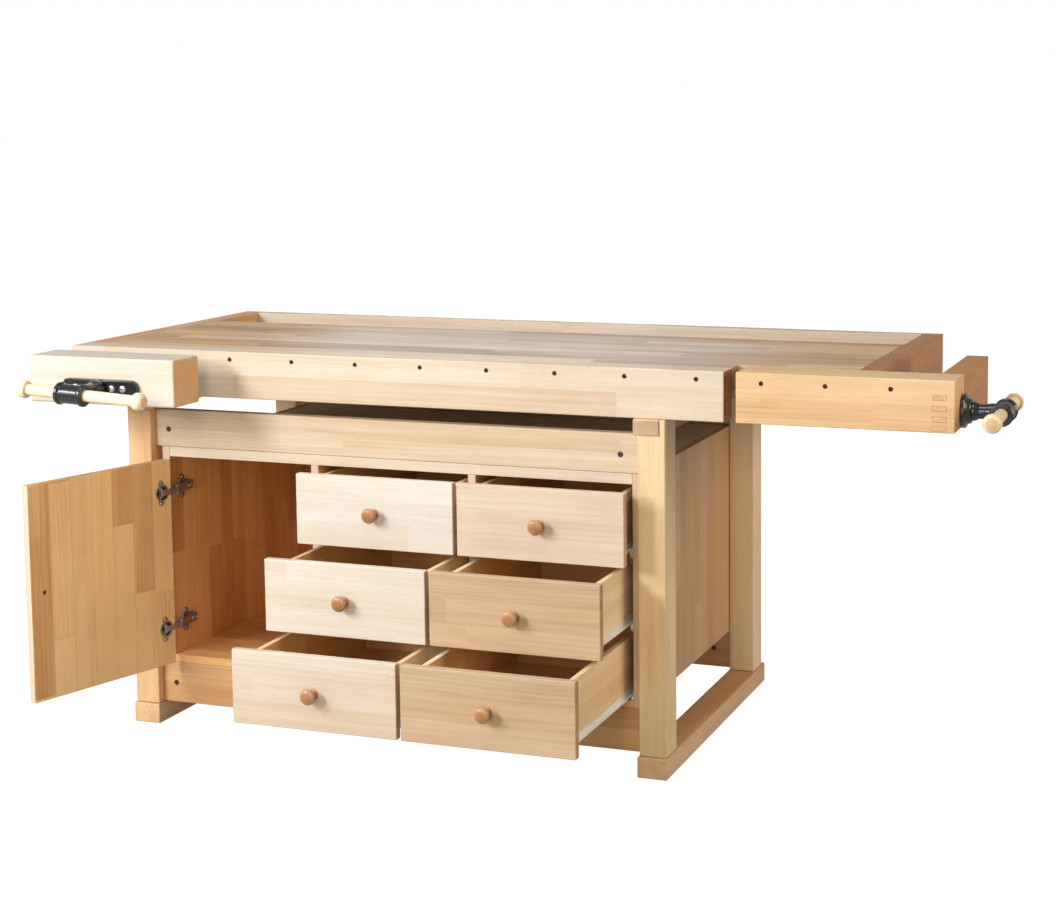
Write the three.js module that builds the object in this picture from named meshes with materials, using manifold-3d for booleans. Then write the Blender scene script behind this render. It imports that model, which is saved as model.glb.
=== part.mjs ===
// Woodworking bench with a front vise, a tail vise, a tool tray and a cabinet
// with one door and six drawers.  Millimetres, +Z up, +X to the right of a
// person standing in front, +Y away from them.
import * as THREE from "three";
import { mergeVertices } from "three/addons/utils/BufferGeometryUtils.js";
import Module from "manifold-3d";

const wasm = await Module();
wasm.setup();

// ---------------------------------------------------------------- dimensions
// Bench coordinates: x = 0 at the left end of the top, y = 0 at the front face
// of the apron, z = 0 on the floor.  The whole bench is moved at the end so
// that the middle of its footprint is the origin.
const GAP = 0.3; // between pieces that touch

const TOP_LENGTH = 1850;
const TOP_DEPTH = 775;
const TOP_HEIGHT = 860;
const EDGE_HEIGHT = 104; // apron, end boards, back rail and both jaws
const EDGE_Z = TOP_HEIGHT - EDGE_HEIGHT;
const APRON_DEPTH = 60;
const APRON_RIGHT = 1548;
const END_BOARD = 46;
const SLAB_THICK = 50;
const SLAB_REAR = 545; // the tool tray lies behind this line
const NOTCH_REAR = 108; // room for the tail vise at the right front corner
const BACK_RAIL = 25;
const TRAY_TOP = 812;
const TRAY_THICK = 12;

const LEG_WIDTH = 60;
const LEG_DEPTH = 70;
const LEFT_LEG_X = 148;
const RIGHT_LEG_X = 1366;
const FRONT_LEG_Y = -10;
const REAR_LEG_Y = 650;
const FOOT_HEIGHT = 45;
const FOOT_FRONT = -16;
const FOOT_REAR = 740;
const FOOT_PROUD = 3; // wider than the leg on each side
const BEAM_Z = 722.5;
const BEAM_CHEEK = 12; // of the leg, outside the beam
const BEAM_INSIDE = 10; // the beam's overhang on the leg's inner side
const BEAM_FRONT = -12;
const BEAM_REAR = 735;
const RAIL_THICK = 26;
const FRAME_Y = 10; // front plane of the rails and the cabinet
const REAR_RAIL_Y = 664;
const TOP_RAIL = [638, 722];
const BOTTOM_RAIL = [47, 141];

const CAB_LEFT = 224;
const CAB_RIGHT = 1365.7;
const CAB_REAR = 690;
const CAB_BOARD = 18;
const CAB_BOTTOM = [141, 159];
const CAB_TOP = [615.5, 637.7];
const CAB_BACK = 12;
const DOOR_DIVIDER = [600, 618];
const DRAWER_DIVIDER = [976, 994];

const DOOR_X = [227, 607]; // closed
const DOOR_Y = [-9.7, 8.3]; // closed
const DOOR_Z = [147, 613.5];
const DOOR_PIVOT = [234, -14];
const DOOR_OPEN = -107; // degrees from closed, as the bench stands
const CUP_FROM_EDGE = 24;
const CUP_Z = [540, 230];
const CUP_RADIUS = 17.3;
const CUP_DEPTH = 11.7;
const DOOR_KNOB = [573, 380];

const FRONT_THICK = 18;
const FRONT_CLOSED_Y = -8.3;
const COLUMNS = { left: [611, 980], right: [988.5, 1360] };
const BOXES = { left: [631, 963], right: [1007, 1334.5] };
const ROWS = [
  { z: [459, 613], open: 70 },
  { z: [303.5, 457.5], open: 211 },
  { z: [148, 302], open: 350 },
];
const BOX_DEPTH = 520;
const BOX_WALL = 12;
const BOX_FLOOR = 8;
const BOX_BELOW = 11; // box floor above the lower edge of the front
const BOX_ABOVE = 15; // box rim below the upper edge of the front
const KNOB_LENGTH = 30.4;
const KNOB_RADIUS = 16.5;

const SCREW_RADIUS = 13;
const SCREW_BORE = 14.6;
const COLLAR_RADIUS = 21;
const HUB_RADIUS = 24;
const HUB_LENGTH = 66;
const HANDLE_RADIUS = 12.5;
const HANDLE_BORE = 13.8;
const HANDLE_LENGTH = 312;
const CAP_RADIUS = 19;
const CAP_LENGTH = 24;

const JAW_X = [12, 376];
const JAW_Y = [-173, -73];
const VISE_X = 196; // axis of the front screw
const VISE_Z = 795;
const VISE_HUB_Y = -280;
const VISE_SCREW_END = 200;
const HANDLE_SHIFT = 22; // the handle rests a little to the right
const HANDLE_TILT = 3; // degrees, its right end lower
const FLANGE_WIDTH = 191;
const FLANGE_HEIGHT = 38;
const FLANGE_THICK = 9.7;
const FLANGE_BOSS = [18.6, 12]; // radius, length beyond the plate
const GUIDE_SPAN = 120; // each guide rod to the screw
const GUIDE_RADIUS = 10;
const GUIDE_BORE = 10.8;
const GUIDE_IN_JAW = 70;
const GUIDE_END = 230;

const TAIL_X = [1572.5, 2016];
const TAIL_DEPTH = 102;
const TAIL_END_X = 1970;
const TAIL_END_REAR = 398;
const TENON_X = [1972, 1999];
const TENON_HEIGHT = 11;
const TENON_Z = [826, 765]; // above and below the tail screw
const TAIL_Y = 80; // axis of the tail screw
const TAIL_Z = 790;
const TAIL_HUB_X = 2098;
const TAIL_SCREW_END = 1700;
const CHANNEL = { x: [1690, 1890], front: 56, z: [764, 816] }; // in the block
const TAIL_FLANGE = [34, 9.7];
const TAIL_BOSS = [25, 10];
const TAIL_GUIDE_Y = 330;
const NUT = { width: 70, length: 38, low: 764, high: 809.7 };
const TAIL_NUT = { x: [1804.5, 1849.5], front: 60, z: [768, 812] };

// ----------------------------------------------------------------- materials
const wood = (color) =>
  new THREE.MeshStandardMaterial({ color, roughness: 0.55, metalness: 0 });
const blackIron = () =>
  new THREE.MeshStandardMaterial({
    color: 0x17181a,
    roughness: 0.35,
    metalness: 0.6,
  });
const steel = (color = 0xb9bcc0) =>
  new THREE.MeshStandardMaterial({ color, roughness: 0.3, metalness: 1 });
const BLOND = 0xe3c598;
const PALE = 0xecd5b0;
const TAN = 0xcfa470;

// ------------------------------------------------------------------- helpers
// A closed geometry as a solid for cutting and joining.
function solid(geometry) {
  const g = geometry.clone();
  g.deleteAttribute("normal");
  g.deleteAttribute("uv");
  const m = mergeVertices(g, 1e-4);
  return new wasm.Manifold(
    new wasm.Mesh({
      numProp: 3,
      vertProperties: new Float32Array(m.attributes.position.array),
      triVerts: new Uint32Array(m.index.array),
    }),
  );
}

// A solid back as a geometry.
function shape(manifold) {
  const m = manifold.getMesh();
  const v = new Float32Array(m.numVert * 3);
  for (let i = 0; i < m.numVert; i++)
    v.set(m.vertProperties.subarray(i * m.numProp, i * m.numProp + 3), i * 3);
  const g = new THREE.BufferGeometry();
  g.setAttribute("position", new THREE.BufferAttribute(v, 3));
  g.setIndex(new THREE.BufferAttribute(new Uint32Array(m.triVerts), 1));
  g.computeVertexNormals();
  return g;
}

const box = ([x0, x1], [y0, y1], [z0, z1]) =>
  new THREE.BoxGeometry(x1 - x0, y1 - y0, z1 - z0).translate(
    (x0 + x1) / 2,
    (y0 + y1) / 2,
    (z0 + z1) / 2,
  );

// A revolved profile of [radius, distance] pairs, its axis along +Y or +X.
function turned(profile, sides, along) {
  const g = new THREE.LatheGeometry(
    profile.map(([r, d]) => new THREE.Vector2(r, d)),
    sides,
  );
  if (along === "x") g.rotateZ(-Math.PI / 2);
  return g;
}

const rod = (radius, from, to, sides, along) =>
  turned(
    [
      [0, from],
      [radius, from],
      [radius, to],
      [0, to],
    ],
    sides,
    along,
  );

function add(parent, name, geometry, material, at = [0, 0, 0]) {
  const mesh = new THREE.Mesh(geometry, material);
  mesh.name = name;
  mesh.position.set(...at);
  parent.add(mesh);
  return mesh;
}

// A plain board, its mesh placed at its middle.
function board(parent, name, x, y, z, color) {
  const at = [(x[0] + x[1]) / 2, (y[0] + y[1]) / 2, (z[0] + z[1]) / 2];
  const size = [x[1] - x[0], y[1] - y[0], z[1] - z[0]];
  return add(parent, name, new THREE.BoxGeometry(...size), wood(color), at);
}

const cut = (geometry, ...tools) =>
  shape(tools.reduce((s, t) => s.subtract(solid(t)), solid(geometry)));

const bench = new THREE.Group();

// ----------------------------------------------------------------------- top
const top = new THREE.Group();
bench.add(top);

// The slab is one outline with the right front corner notched.
const inner = [END_BOARD + GAP, TOP_LENGTH - END_BOARD - GAP];
const outline = new THREE.Shape();
outline.moveTo(inner[0], APRON_DEPTH + GAP);
outline.lineTo(APRON_RIGHT - GAP, APRON_DEPTH + GAP);
outline.lineTo(APRON_RIGHT - GAP, NOTCH_REAR);
outline.lineTo(inner[1], NOTCH_REAR);
outline.lineTo(inner[1], SLAB_REAR);
outline.lineTo(inner[0], SLAB_REAR);
outline.closePath();
add(
  top,
  "top_slab",
  new THREE.ExtrudeGeometry(outline, {
    depth: SLAB_THICK,
    bevelEnabled: false,
  }),
  wood(0xd8c3a0),
  [0, 0, TOP_HEIGHT - SLAB_THICK],
);

add(
  top,
  "front_apron",
  cut(
    box(
      [0, APRON_RIGHT - GAP],
      [0, APRON_DEPTH],
      [EDGE_Z, TOP_HEIGHT],
    ),
    rod(SCREW_BORE, -5, APRON_DEPTH + 5, 24).translate(VISE_X, 0, VISE_Z),
    rod(GUIDE_BORE, -5, APRON_DEPTH + 5, 20).translate(
      VISE_X - GUIDE_SPAN,
      0,
      VISE_Z,
    ),
    rod(GUIDE_BORE, -5, APRON_DEPTH + 5, 20).translate(
      VISE_X + GUIDE_SPAN,
      0,
      VISE_Z,
    ),
  ),
  wood(PALE),
);

board(
  top,
  "left_end_board",
  [0, END_BOARD],
  [APRON_DEPTH + GAP, TOP_DEPTH],
  [EDGE_Z, TOP_HEIGHT],
  BLOND,
);

add(
  top,
  "right_end_board",
  cut(
    box(
      [TOP_LENGTH - END_BOARD, TOP_LENGTH],
      [NOTCH_REAR, TOP_DEPTH],
      [EDGE_Z, TOP_HEIGHT],
    ),
    rod(GUIDE_BORE, -5, END_BOARD + 5, 20, "x").translate(
      TOP_LENGTH - END_BOARD,
      TAIL_GUIDE_Y,
      TAIL_Z,
    ),
  ),
  wood(BLOND),
);

board(
  top,
  "back_rail",
  inner,
  [TOP_DEPTH - BACK_RAIL, TOP_DEPTH],
  [EDGE_Z, TOP_HEIGHT],
  BLOND,
);
board(
  top,
  "tray_bottom",
  inner,
  [SLAB_REAR + GAP, TOP_DEPTH - BACK_RAIL - GAP],
  [TRAY_TOP - TRAY_THICK, TRAY_TOP],
  0xd8c3a0,
);

// ---------------------------------------------------------------------- base
const base = new THREE.Group();
bench.add(base);
const sides = { left: LEFT_LEG_X, right: RIGHT_LEG_X };
for (const [side, x] of Object.entries(sides)) {
  const wide = [x - FOOT_PROUD, x + LEG_WIDTH + FOOT_PROUD];
  const leg = [x, x + LEG_WIDTH];
  // The beam lies in a notch at the top of both legs, and the outer cheek of
  // each leg runs on up beside it.
  const beam =
    side === "left"
      ? [leg[0] + BEAM_CHEEK, leg[1] + BEAM_INSIDE]
      : [leg[0] - BEAM_INSIDE, leg[1] - BEAM_CHEEK];
  const notch = [beam[0] - GAP, beam[1] + GAP];
  board(
    base,
    `${side}_foot`,
    wide,
    [FOOT_FRONT, FOOT_REAR],
    [0, FOOT_HEIGHT],
    BLOND,
  );
  const ends = { front: FRONT_LEG_Y, rear: REAR_LEG_Y };
  for (const [end, y] of Object.entries(ends))
    add(
      base,
      `${end}_${side}_leg`,
      cut(
        box(leg, [y, y + LEG_DEPTH], [FOOT_HEIGHT + GAP, EDGE_Z - GAP]),
        box(notch, [y - 1, y + LEG_DEPTH + 1], [BEAM_Z - GAP, EDGE_Z + 1]),
      ),
      wood(BLOND),
    );
  board(
    base,
    `${side}_top_beam`,
    beam,
    [BEAM_FRONT, BEAM_REAR],
    [BEAM_Z, EDGE_Z - GAP],
    BLOND,
  );
}
const railX = [LEFT_LEG_X + LEG_WIDTH + GAP, RIGHT_LEG_X - GAP];
const rails = { front: FRAME_Y, rear: REAR_RAIL_Y };
for (const [side, y] of Object.entries(rails)) {
  const railY = [y, y + RAIL_THICK];
  board(base, `${side}_top_rail`, railX, railY, TOP_RAIL, PALE);
  board(
    base,
    `${side}_bottom_rail`,
    railX,
    railY,
    [BOTTOM_RAIL[0], BOTTOM_RAIL[1] - GAP],
    BLOND,
  );
}

// ------------------------------------------------------------------- cabinet
const cabinet = new THREE.Group();
bench.add(cabinet);
const cabY = [FRAME_Y, CAB_REAR];
const sideZ = [CAB_BOTTOM[0], CAB_TOP[1]];
board(
  cabinet,
  "cabinet_left_side",
  [CAB_LEFT, CAB_LEFT + CAB_BOARD],
  cabY,
  sideZ,
  TAN,
);
board(
  cabinet,
  "cabinet_right_side",
  [CAB_RIGHT - CAB_BOARD, CAB_RIGHT - GAP],
  cabY,
  sideZ,
  TAN,
);
const insideX = [CAB_LEFT + CAB_BOARD + GAP, CAB_RIGHT - CAB_BOARD - GAP];
const insideZ = [CAB_BOTTOM[1] + GAP, CAB_TOP[0] - GAP];
board(cabinet, "cabinet_top", insideX, cabY, CAB_TOP, BLOND);
board(cabinet, "cabinet_bottom", insideX, cabY, CAB_BOTTOM, BLOND);
board(
  cabinet,
  "cabinet_back",
  insideX,
  [CAB_REAR - CAB_BACK, CAB_REAR],
  insideZ,
  TAN,
);
const dividerY = [FRAME_Y, CAB_REAR - CAB_BACK - GAP];
board(cabinet, "door_divider", DOOR_DIVIDER, dividerY, insideZ, TAN);
board(cabinet, "drawer_divider", DRAWER_DIVIDER, dividerY, insideZ, TAN);

// ------------------------------------------------------------ turned wood knob
// Its seat at 0, its head towards -Y.
const knobProfile = [
  [0, -KNOB_LENGTH],
  [7, -KNOB_LENGTH + 0.6],
  [13, -KNOB_LENGTH + 3.2],
  [KNOB_RADIUS, -KNOB_LENGTH + 8],
  [15, -KNOB_LENGTH + 12],
  [9.5, -KNOB_LENGTH + 16],
  [7.2, -KNOB_LENGTH + 21],
  [7.8, -KNOB_LENGTH + 26],
  [10, 0],
  [0, 0],
];

// ---------------------------------------------------------------------- door
// Local coordinates are those of the closed door, measured from its pivot.
const door = new THREE.Group();
door.position.set(DOOR_PIVOT[0], DOOR_PIVOT[1], 0);
door.rotation.z = THREE.MathUtils.degToRad(DOOR_OPEN);
bench.add(door);
const fromPivot = (x, y) => [x - DOOR_PIVOT[0], y - DOOR_PIVOT[1]];
const [doorX0, doorY0] = fromPivot(DOOR_X[0], DOOR_Y[0]);
const [doorX1, doorY1] = fromPivot(DOOR_X[1], DOOR_Y[1]);
const cupX = doorX0 + CUP_FROM_EDGE;
add(
  door,
  "door_panel",
  cut(
    box([doorX0, doorX1], [doorY0, doorY1], DOOR_Z),
    ...CUP_Z.map((z) =>
      rod(CUP_RADIUS + 0.5, doorY1 - CUP_DEPTH - GAP, doorY1 + 5, 28).translate(
        cupX,
        0,
        z,
      ),
    ),
  ),
  wood(TAN),
);
const knobAt = fromPivot(DOOR_KNOB[0], DOOR_Y[0] - GAP);
add(door, "door_knob", turned(knobProfile, 20), wood(TAN), [
  ...knobAt,
  DOOR_KNOB[1],
]);
const cupProfile = [
  [0, -CUP_DEPTH],
  [CUP_RADIUS, -CUP_DEPTH],
  [CUP_RADIUS, 0.3],
  [19.3, 0.3],
  [19.3, 1.1],
  [CUP_RADIUS - 1.5, 1.1],
  [CUP_RADIUS - 1.5, -CUP_DEPTH + 1.5],
  [0, -CUP_DEPTH + 1.5],
];
["upper_hinge_cup", "lower_hinge_cup"].forEach((name, i) =>
  add(door, name, turned(cupProfile, 24), steel(), [cupX, doorY1, CUP_Z[i]]),
);

// ------------------------------------------------------------------- drawers
ROWS.forEach((row, i) => {
  for (const [side, x] of Object.entries(COLUMNS)) {
    // Local y = 0 is the front face of the drawer front.
    const drawer = new THREE.Group();
    drawer.position.set(0, FRONT_CLOSED_Y - row.open, 0);
    bench.add(drawer);
    const name = `drawer_${i + 1}_${side}`;
    board(drawer, `${name}_front`, x, [0, FRONT_THICK], row.z, PALE);
    const outerX = BOXES[side];
    const outerY = [FRONT_THICK + GAP, FRONT_THICK + BOX_DEPTH];
    const outerZ = [row.z[0] + BOX_BELOW, row.z[1] - BOX_ABOVE];
    const hollow = box(
      [outerX[0] + BOX_WALL, outerX[1] - BOX_WALL],
      [outerY[0] + BOX_WALL, outerY[1] - BOX_WALL],
      [outerZ[0] + BOX_FLOOR, outerZ[1] + 10],
    );
    add(
      drawer,
      `${name}_box`,
      cut(box(outerX, outerY, outerZ), hollow),
      wood(TAN),
    );
    add(drawer, `${name}_knob`, turned(knobProfile, 20), wood(TAN), [
      (x[0] + x[1]) / 2,
      -GAP,
      (row.z[0] + row.z[1]) / 2,
    ]);
  }
});

// A turned handle, its middle at 0, with a cap at each end.
function handle(along) {
  const e = HANDLE_LENGTH / 2;
  const half = [
    [0, e],
    [9, e - 0.8],
    [15.5, e - 4],
    [CAP_RADIUS, e - 10],
    [CAP_RADIUS, e - CAP_LENGTH + 5],
    [16.5, e - CAP_LENGTH],
    [HANDLE_RADIUS, e - CAP_LENGTH],
  ];
  const lower = half.map(([r, d]) => [r, -d]);
  return turned([...lower, ...half.reverse()], 24, along);
}

// --------------------------------------------------------------- front vise
// Local coordinates are measured from the screw axis at the apron face.
const frontVise = new THREE.Group();
frontVise.position.set(VISE_X, 0, VISE_Z);
bench.add(frontVise);
const jawX = [JAW_X[0] - VISE_X, JAW_X[1] - VISE_X];
const jawZ = [EDGE_Z + 1 - VISE_Z, TOP_HEIGHT - VISE_Z];
add(
  frontVise,
  "front_jaw",
  cut(
    box(jawX, JAW_Y, jawZ),
    rod(SCREW_BORE, JAW_Y[0] - 5, JAW_Y[1] + 5, 24),
    rod(COLLAR_RADIUS + 2, JAW_Y[1] - 10, JAW_Y[1] + 5, 24),
    ...[-GUIDE_SPAN, GUIDE_SPAN].map((x) =>
      rod(
        GUIDE_RADIUS + 0.4,
        JAW_Y[1] - GUIDE_IN_JAW - GAP,
        JAW_Y[1] + 5,
        20,
      ).translate(x, 0, 0),
    ),
  ),
  wood(PALE),
);

// Flange: a plate with round ends and a boss round the screw.
const plate = new THREE.Shape();
const half = FLANGE_HEIGHT / 2;
const straight = FLANGE_WIDTH / 2 - half;
plate.moveTo(-straight, -half);
plate.lineTo(straight, -half);
plate.absarc(straight, 0, half, -Math.PI / 2, Math.PI / 2, false);
plate.lineTo(-straight, half);
plate.absarc(-straight, 0, half, Math.PI / 2, (3 * Math.PI) / 2, false);
const flangeFace = JAW_Y[0] - GAP;
const plateSolid = solid(
  new THREE.ExtrudeGeometry(plate, {
    depth: FLANGE_THICK,
    bevelEnabled: false,
    curveSegments: 10,
  })
    .rotateX(Math.PI / 2)
    .translate(0, flangeFace, 0),
);
const bossEnd = flangeFace - FLANGE_THICK - FLANGE_BOSS[1];
add(
  frontVise,
  "front_flange",
  shape(
    plateSolid
      .add(solid(rod(FLANGE_BOSS[0], bossEnd, flangeFace - 1, 28)))
      .subtract(solid(rod(SCREW_BORE + 0.4, bossEnd - 5, flangeFace + 5, 24))),
  ),
  blackIron(),
);
for (const [side, x] of [
  ["left", -GUIDE_SPAN],
  ["right", GUIDE_SPAN],
])
  add(
    frontVise,
    `front_guide_${side}`,
    rod(GUIDE_RADIUS, JAW_Y[1] - GUIDE_IN_JAW, GUIDE_END, 20),
    steel(),
    [x, 0, 0],
  );

// Screw with its retaining collar, shoulder, neck and T hub.  Distances run
// along the screw, away from the hub.
function screw(hub, shoulder, collar, end, along) {
  const profile = [
    [0, hub],
    [18, hub],
    [18, hub + HUB_RADIUS - 4],
    [16, shoulder - 12],
    [19, shoulder - 9],
    [19, shoulder],
    [SCREW_RADIUS, shoulder],
    [SCREW_RADIUS, collar],
    [COLLAR_RADIUS, collar],
    [COLLAR_RADIUS, collar + 8],
    [SCREW_RADIUS, collar + 8],
    [SCREW_RADIUS, end - 3],
    [SCREW_RADIUS - 3, end],
    [0, end],
  ];
  const shaft = turned(profile, 24, "y");
  const sleeve = rod(HUB_RADIUS, -HUB_LENGTH / 2, HUB_LENGTH / 2, 28, "x");
  const bore = rod(HANDLE_BORE, -HUB_LENGTH, HUB_LENGTH, 24, "x");
  const made = solid(shaft)
    .add(solid(sleeve.translate(0, hub, 0)))
    .subtract(solid(bore.translate(0, hub, 0)));
  const g = shape(made);
  // The tail screw runs along -X with its hub's sleeve along Y.
  if (along === "x") g.rotateZ(Math.PI / 2);
  return g;
}
const frontScrew = new THREE.Group();
frontScrew.rotation.y = THREE.MathUtils.degToRad(HANDLE_TILT);
frontVise.add(frontScrew);
add(
  frontScrew,
  "front_screw",
  screw(VISE_HUB_Y, bossEnd - GAP, JAW_Y[1] - 9, VISE_SCREW_END, "y"),
  blackIron(),
);
add(frontScrew, "front_handle", handle("x"), wood(PALE), [
  HANDLE_SHIFT,
  VISE_HUB_Y,
  0,
]);
const nutZ = [NUT.low, NUT.high];
add(
  bench,
  "front_vise_nut",
  cut(
    box(
      [VISE_X - NUT.width / 2, VISE_X + NUT.width / 2],
      [APRON_DEPTH + GAP, APRON_DEPTH + NUT.length],
      nutZ,
    ),
    rod(SCREW_BORE - 0.6, APRON_DEPTH - 5, APRON_DEPTH + 60, 24).translate(
      VISE_X,
      0,
      VISE_Z,
    ),
  ),
  blackIron(),
);

// ---------------------------------------------------------------- tail vise
// The block is hollow at its rear: the nut stands in the hollow, held by the
// front end of the right end board, and the screw turns in the block's end.
const tailVise = new THREE.Group();
bench.add(tailVise);
const tenons = TENON_Z.map((z) => [
  z - TENON_HEIGHT / 2,
  z + TENON_HEIGHT / 2,
]);
add(
  tailVise,
  "tail_jaw_block",
  cut(
    box(TAIL_X, [0, TAIL_DEPTH], [EDGE_Z, TOP_HEIGHT]),
    ...tenons.map(([a, b]) =>
      box(
        [TENON_X[0] - GAP, TENON_X[1] + GAP],
        [-5, TAIL_DEPTH + 5],
        [a - GAP, b + GAP],
      ),
    ),
    box(CHANNEL.x, [CHANNEL.front, TAIL_DEPTH + 5], CHANNEL.z),
    rod(SCREW_BORE, CHANNEL.x[1] - 5, TAIL_X[1] + 5, 24, "x").translate(
      0,
      TAIL_Y,
      TAIL_Z,
    ),
  ),
  wood(BLOND),
);
const endBoard = tenons.reduce(
  (s, z) => s.add(solid(box(TENON_X, [0, TAIL_DEPTH + 5], z))),
  solid(
    box(
      [TAIL_END_X, TAIL_X[1]],
      [TAIL_DEPTH + GAP, TAIL_END_REAR],
      [EDGE_Z, TOP_HEIGHT],
    ),
  ),
);
add(tailVise, "tail_end_board", shape(endBoard), wood(TAN));
const tailFace = TAIL_X[1] + GAP;
const tailBossEnd = tailFace + TAIL_FLANGE[1] + TAIL_BOSS[1];
add(
  tailVise,
  "tail_flange",
  turned(
    [
      [SCREW_BORE + 0.4, tailFace],
      [TAIL_FLANGE[0], tailFace],
      [TAIL_FLANGE[0], tailFace + TAIL_FLANGE[1] - 2],
      [TAIL_FLANGE[0] - 2, tailFace + TAIL_FLANGE[1]],
      [TAIL_BOSS[0], tailFace + TAIL_FLANGE[1]],
      [TAIL_BOSS[0] - 1, tailBossEnd],
      [SCREW_BORE + 0.4, tailBossEnd],
      [SCREW_BORE + 0.4, tailFace],
    ],
    32,
    "x",
  ),
  blackIron(),
  [0, TAIL_Y, TAIL_Z],
);
add(
  tailVise,
  "tail_screw",
  screw(
    -TAIL_HUB_X,
    -(tailBossEnd + GAP),
    -(CHANNEL.x[1] - GAP),
    -TAIL_SCREW_END,
    "x",
  ),
  blackIron(),
  [0, TAIL_Y, TAIL_Z],
);
add(tailVise, "tail_handle", handle("y"), wood(PALE), [
  TAIL_HUB_X,
  TAIL_Y,
  TAIL_Z,
]);
add(
  bench,
  "tail_vise_nut",
  cut(
    box(TAIL_NUT.x, [TAIL_NUT.front, NOTCH_REAR - GAP], TAIL_NUT.z),
    rod(SCREW_BORE - 0.6, TAIL_NUT.x[0] - 5, TAIL_NUT.x[1] + 5, 24, "x").translate(
      0,
      TAIL_Y,
      TAIL_Z,
    ),
  ),
  blackIron(),
);

// ------------------------------------------------------------------- origin
// The middle of the bench's footprint, on the floor.
const part = new THREE.Group();
part.add(bench);
part.updateMatrixWorld(true);
const bounds = new THREE.Box3().setFromObject(bench, true);
const middle = bounds.getCenter(new THREE.Vector3());
bench.position.set(-middle.x, -middle.y, -bounds.min.z);

export default part;
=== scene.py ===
import math
import random

import bmesh
import bpy
import numpy as np
from mathutils import Matrix, Vector


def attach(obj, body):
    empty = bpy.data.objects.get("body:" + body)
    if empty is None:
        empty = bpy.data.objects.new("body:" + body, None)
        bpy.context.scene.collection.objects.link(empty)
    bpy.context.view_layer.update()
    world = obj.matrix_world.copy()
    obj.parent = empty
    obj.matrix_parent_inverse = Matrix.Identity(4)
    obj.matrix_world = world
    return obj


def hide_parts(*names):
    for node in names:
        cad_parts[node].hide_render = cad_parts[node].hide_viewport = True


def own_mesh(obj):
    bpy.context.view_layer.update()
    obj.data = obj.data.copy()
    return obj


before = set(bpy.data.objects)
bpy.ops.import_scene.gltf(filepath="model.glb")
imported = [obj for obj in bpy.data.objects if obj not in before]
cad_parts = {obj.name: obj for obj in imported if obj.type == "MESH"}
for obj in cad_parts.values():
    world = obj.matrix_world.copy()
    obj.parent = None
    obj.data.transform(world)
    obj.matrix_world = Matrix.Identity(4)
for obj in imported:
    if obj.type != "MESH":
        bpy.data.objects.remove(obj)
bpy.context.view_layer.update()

# Bench coordinates in millimetres: x = 0 at the left end of the top, y = 0 at
# the front face of the apron, z = 0 on the floor.  They are moved to the row
# frame, in metres, when a piece is made.
SHIFT = np.array([1061.0, 193.0, 0.0])
TAU = 2 * math.pi
SW = 0.05  # one stave in grain coordinates


def row(p):
    return Vector(((p[0] - SHIFT[0]) / 1000, (p[1] - SHIFT[1]) / 1000, p[2] / 1000))


# ------------------------------------------------------------------ node tools
class Nodes:
    """A short way to write shader nodes."""

    def __init__(self, tree):
        self.t = tree

    def new(self, kind, **props):
        n = self.t.nodes.new(kind)
        for k, v in props.items():
            setattr(n, k, v)
        return n

    def put(self, socket, value):
        if isinstance(value, bpy.types.NodeSocket):
            self.t.links.new(value, socket)
        else:
            socket.default_value = value

    def m(self, op, a, b=0.0, c=0.0, clamp=False):
        n = self.new("ShaderNodeMath", operation=op, use_clamp=clamp)
        for s, v in zip(n.inputs, (a, b, c)):
            self.put(s, v)
        return n.outputs[0]

    def add(self, a, b):
        return self.m("ADD", a, b)

    def sub(self, a, b):
        return self.m("SUBTRACT", a, b)

    def mul(self, a, b):
        return self.m("MULTIPLY", a, b)

    def mad(self, a, b, c):
        return self.m("MULTIPLY_ADD", a, b, c)

    def xyz(self, x, y, z):
        n = self.new("ShaderNodeCombineXYZ")
        for s, v in zip(n.inputs, (x, y, z)):
            self.put(s, v)
        return n.outputs[0]

    def split(self, vec):
        n = self.new("ShaderNodeSeparateXYZ")
        self.put(n.inputs[0], vec)
        return n.outputs[0], n.outputs[1], n.outputs[2]

    def vec(self, op, a, b):
        n = self.new("ShaderNodeVectorMath", operation=op)
        self.put(n.inputs[0], a)
        self.put(n.inputs[1], b)
        return n.outputs[0]

    def attr(self, name):
        n = self.new("ShaderNodeAttribute", attribute_type="GEOMETRY")
        n.attribute_name = name
        return n

    def noise(self, vec, scale=1.0, detail=2.0, rough=0.5, distort=0.0):
        n = self.new("ShaderNodeTexNoise", noise_dimensions="3D")
        self.put(n.inputs["Vector"], vec)
        n.inputs["Scale"].default_value = scale
        n.inputs["Detail"].default_value = detail
        n.inputs["Roughness"].default_value = rough
        n.inputs["Distortion"].default_value = distort
        return n.outputs[0]

    def white1(self, w):
        n = self.new("ShaderNodeTexWhiteNoise", noise_dimensions="1D")
        self.put(n.inputs["W"], w)
        return n.outputs["Value"]

    def white3(self, vec):
        n = self.new("ShaderNodeTexWhiteNoise", noise_dimensions="3D")
        self.put(n.inputs["Vector"], vec)
        return n.outputs["Color"]

    def ramp(self, x, a, b, lo=0.0, hi=1.0):
        n = self.new("ShaderNodeMapRange", interpolation_type="SMOOTHSTEP")
        for s, v in zip(n.inputs, (x, a, b, lo, hi)):
            self.put(s, v)
        return n.outputs[0]

    def mix(self, fac, a, b, blend="MIX"):
        n = self.new("ShaderNodeMix", data_type="RGBA", blend_type=blend)
        self.put(n.inputs[0], fac)
        self.put(n.inputs[6], a)
        self.put(n.inputs[7], b)
        return n.outputs[2]

    def bump(self, height, strength, distance):
        n = self.new("ShaderNodeBump")
        n.inputs["Strength"].default_value = strength
        n.inputs["Distance"].default_value = distance
        self.put(n.inputs["Height"], height)
        return n.outputs[0]


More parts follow.
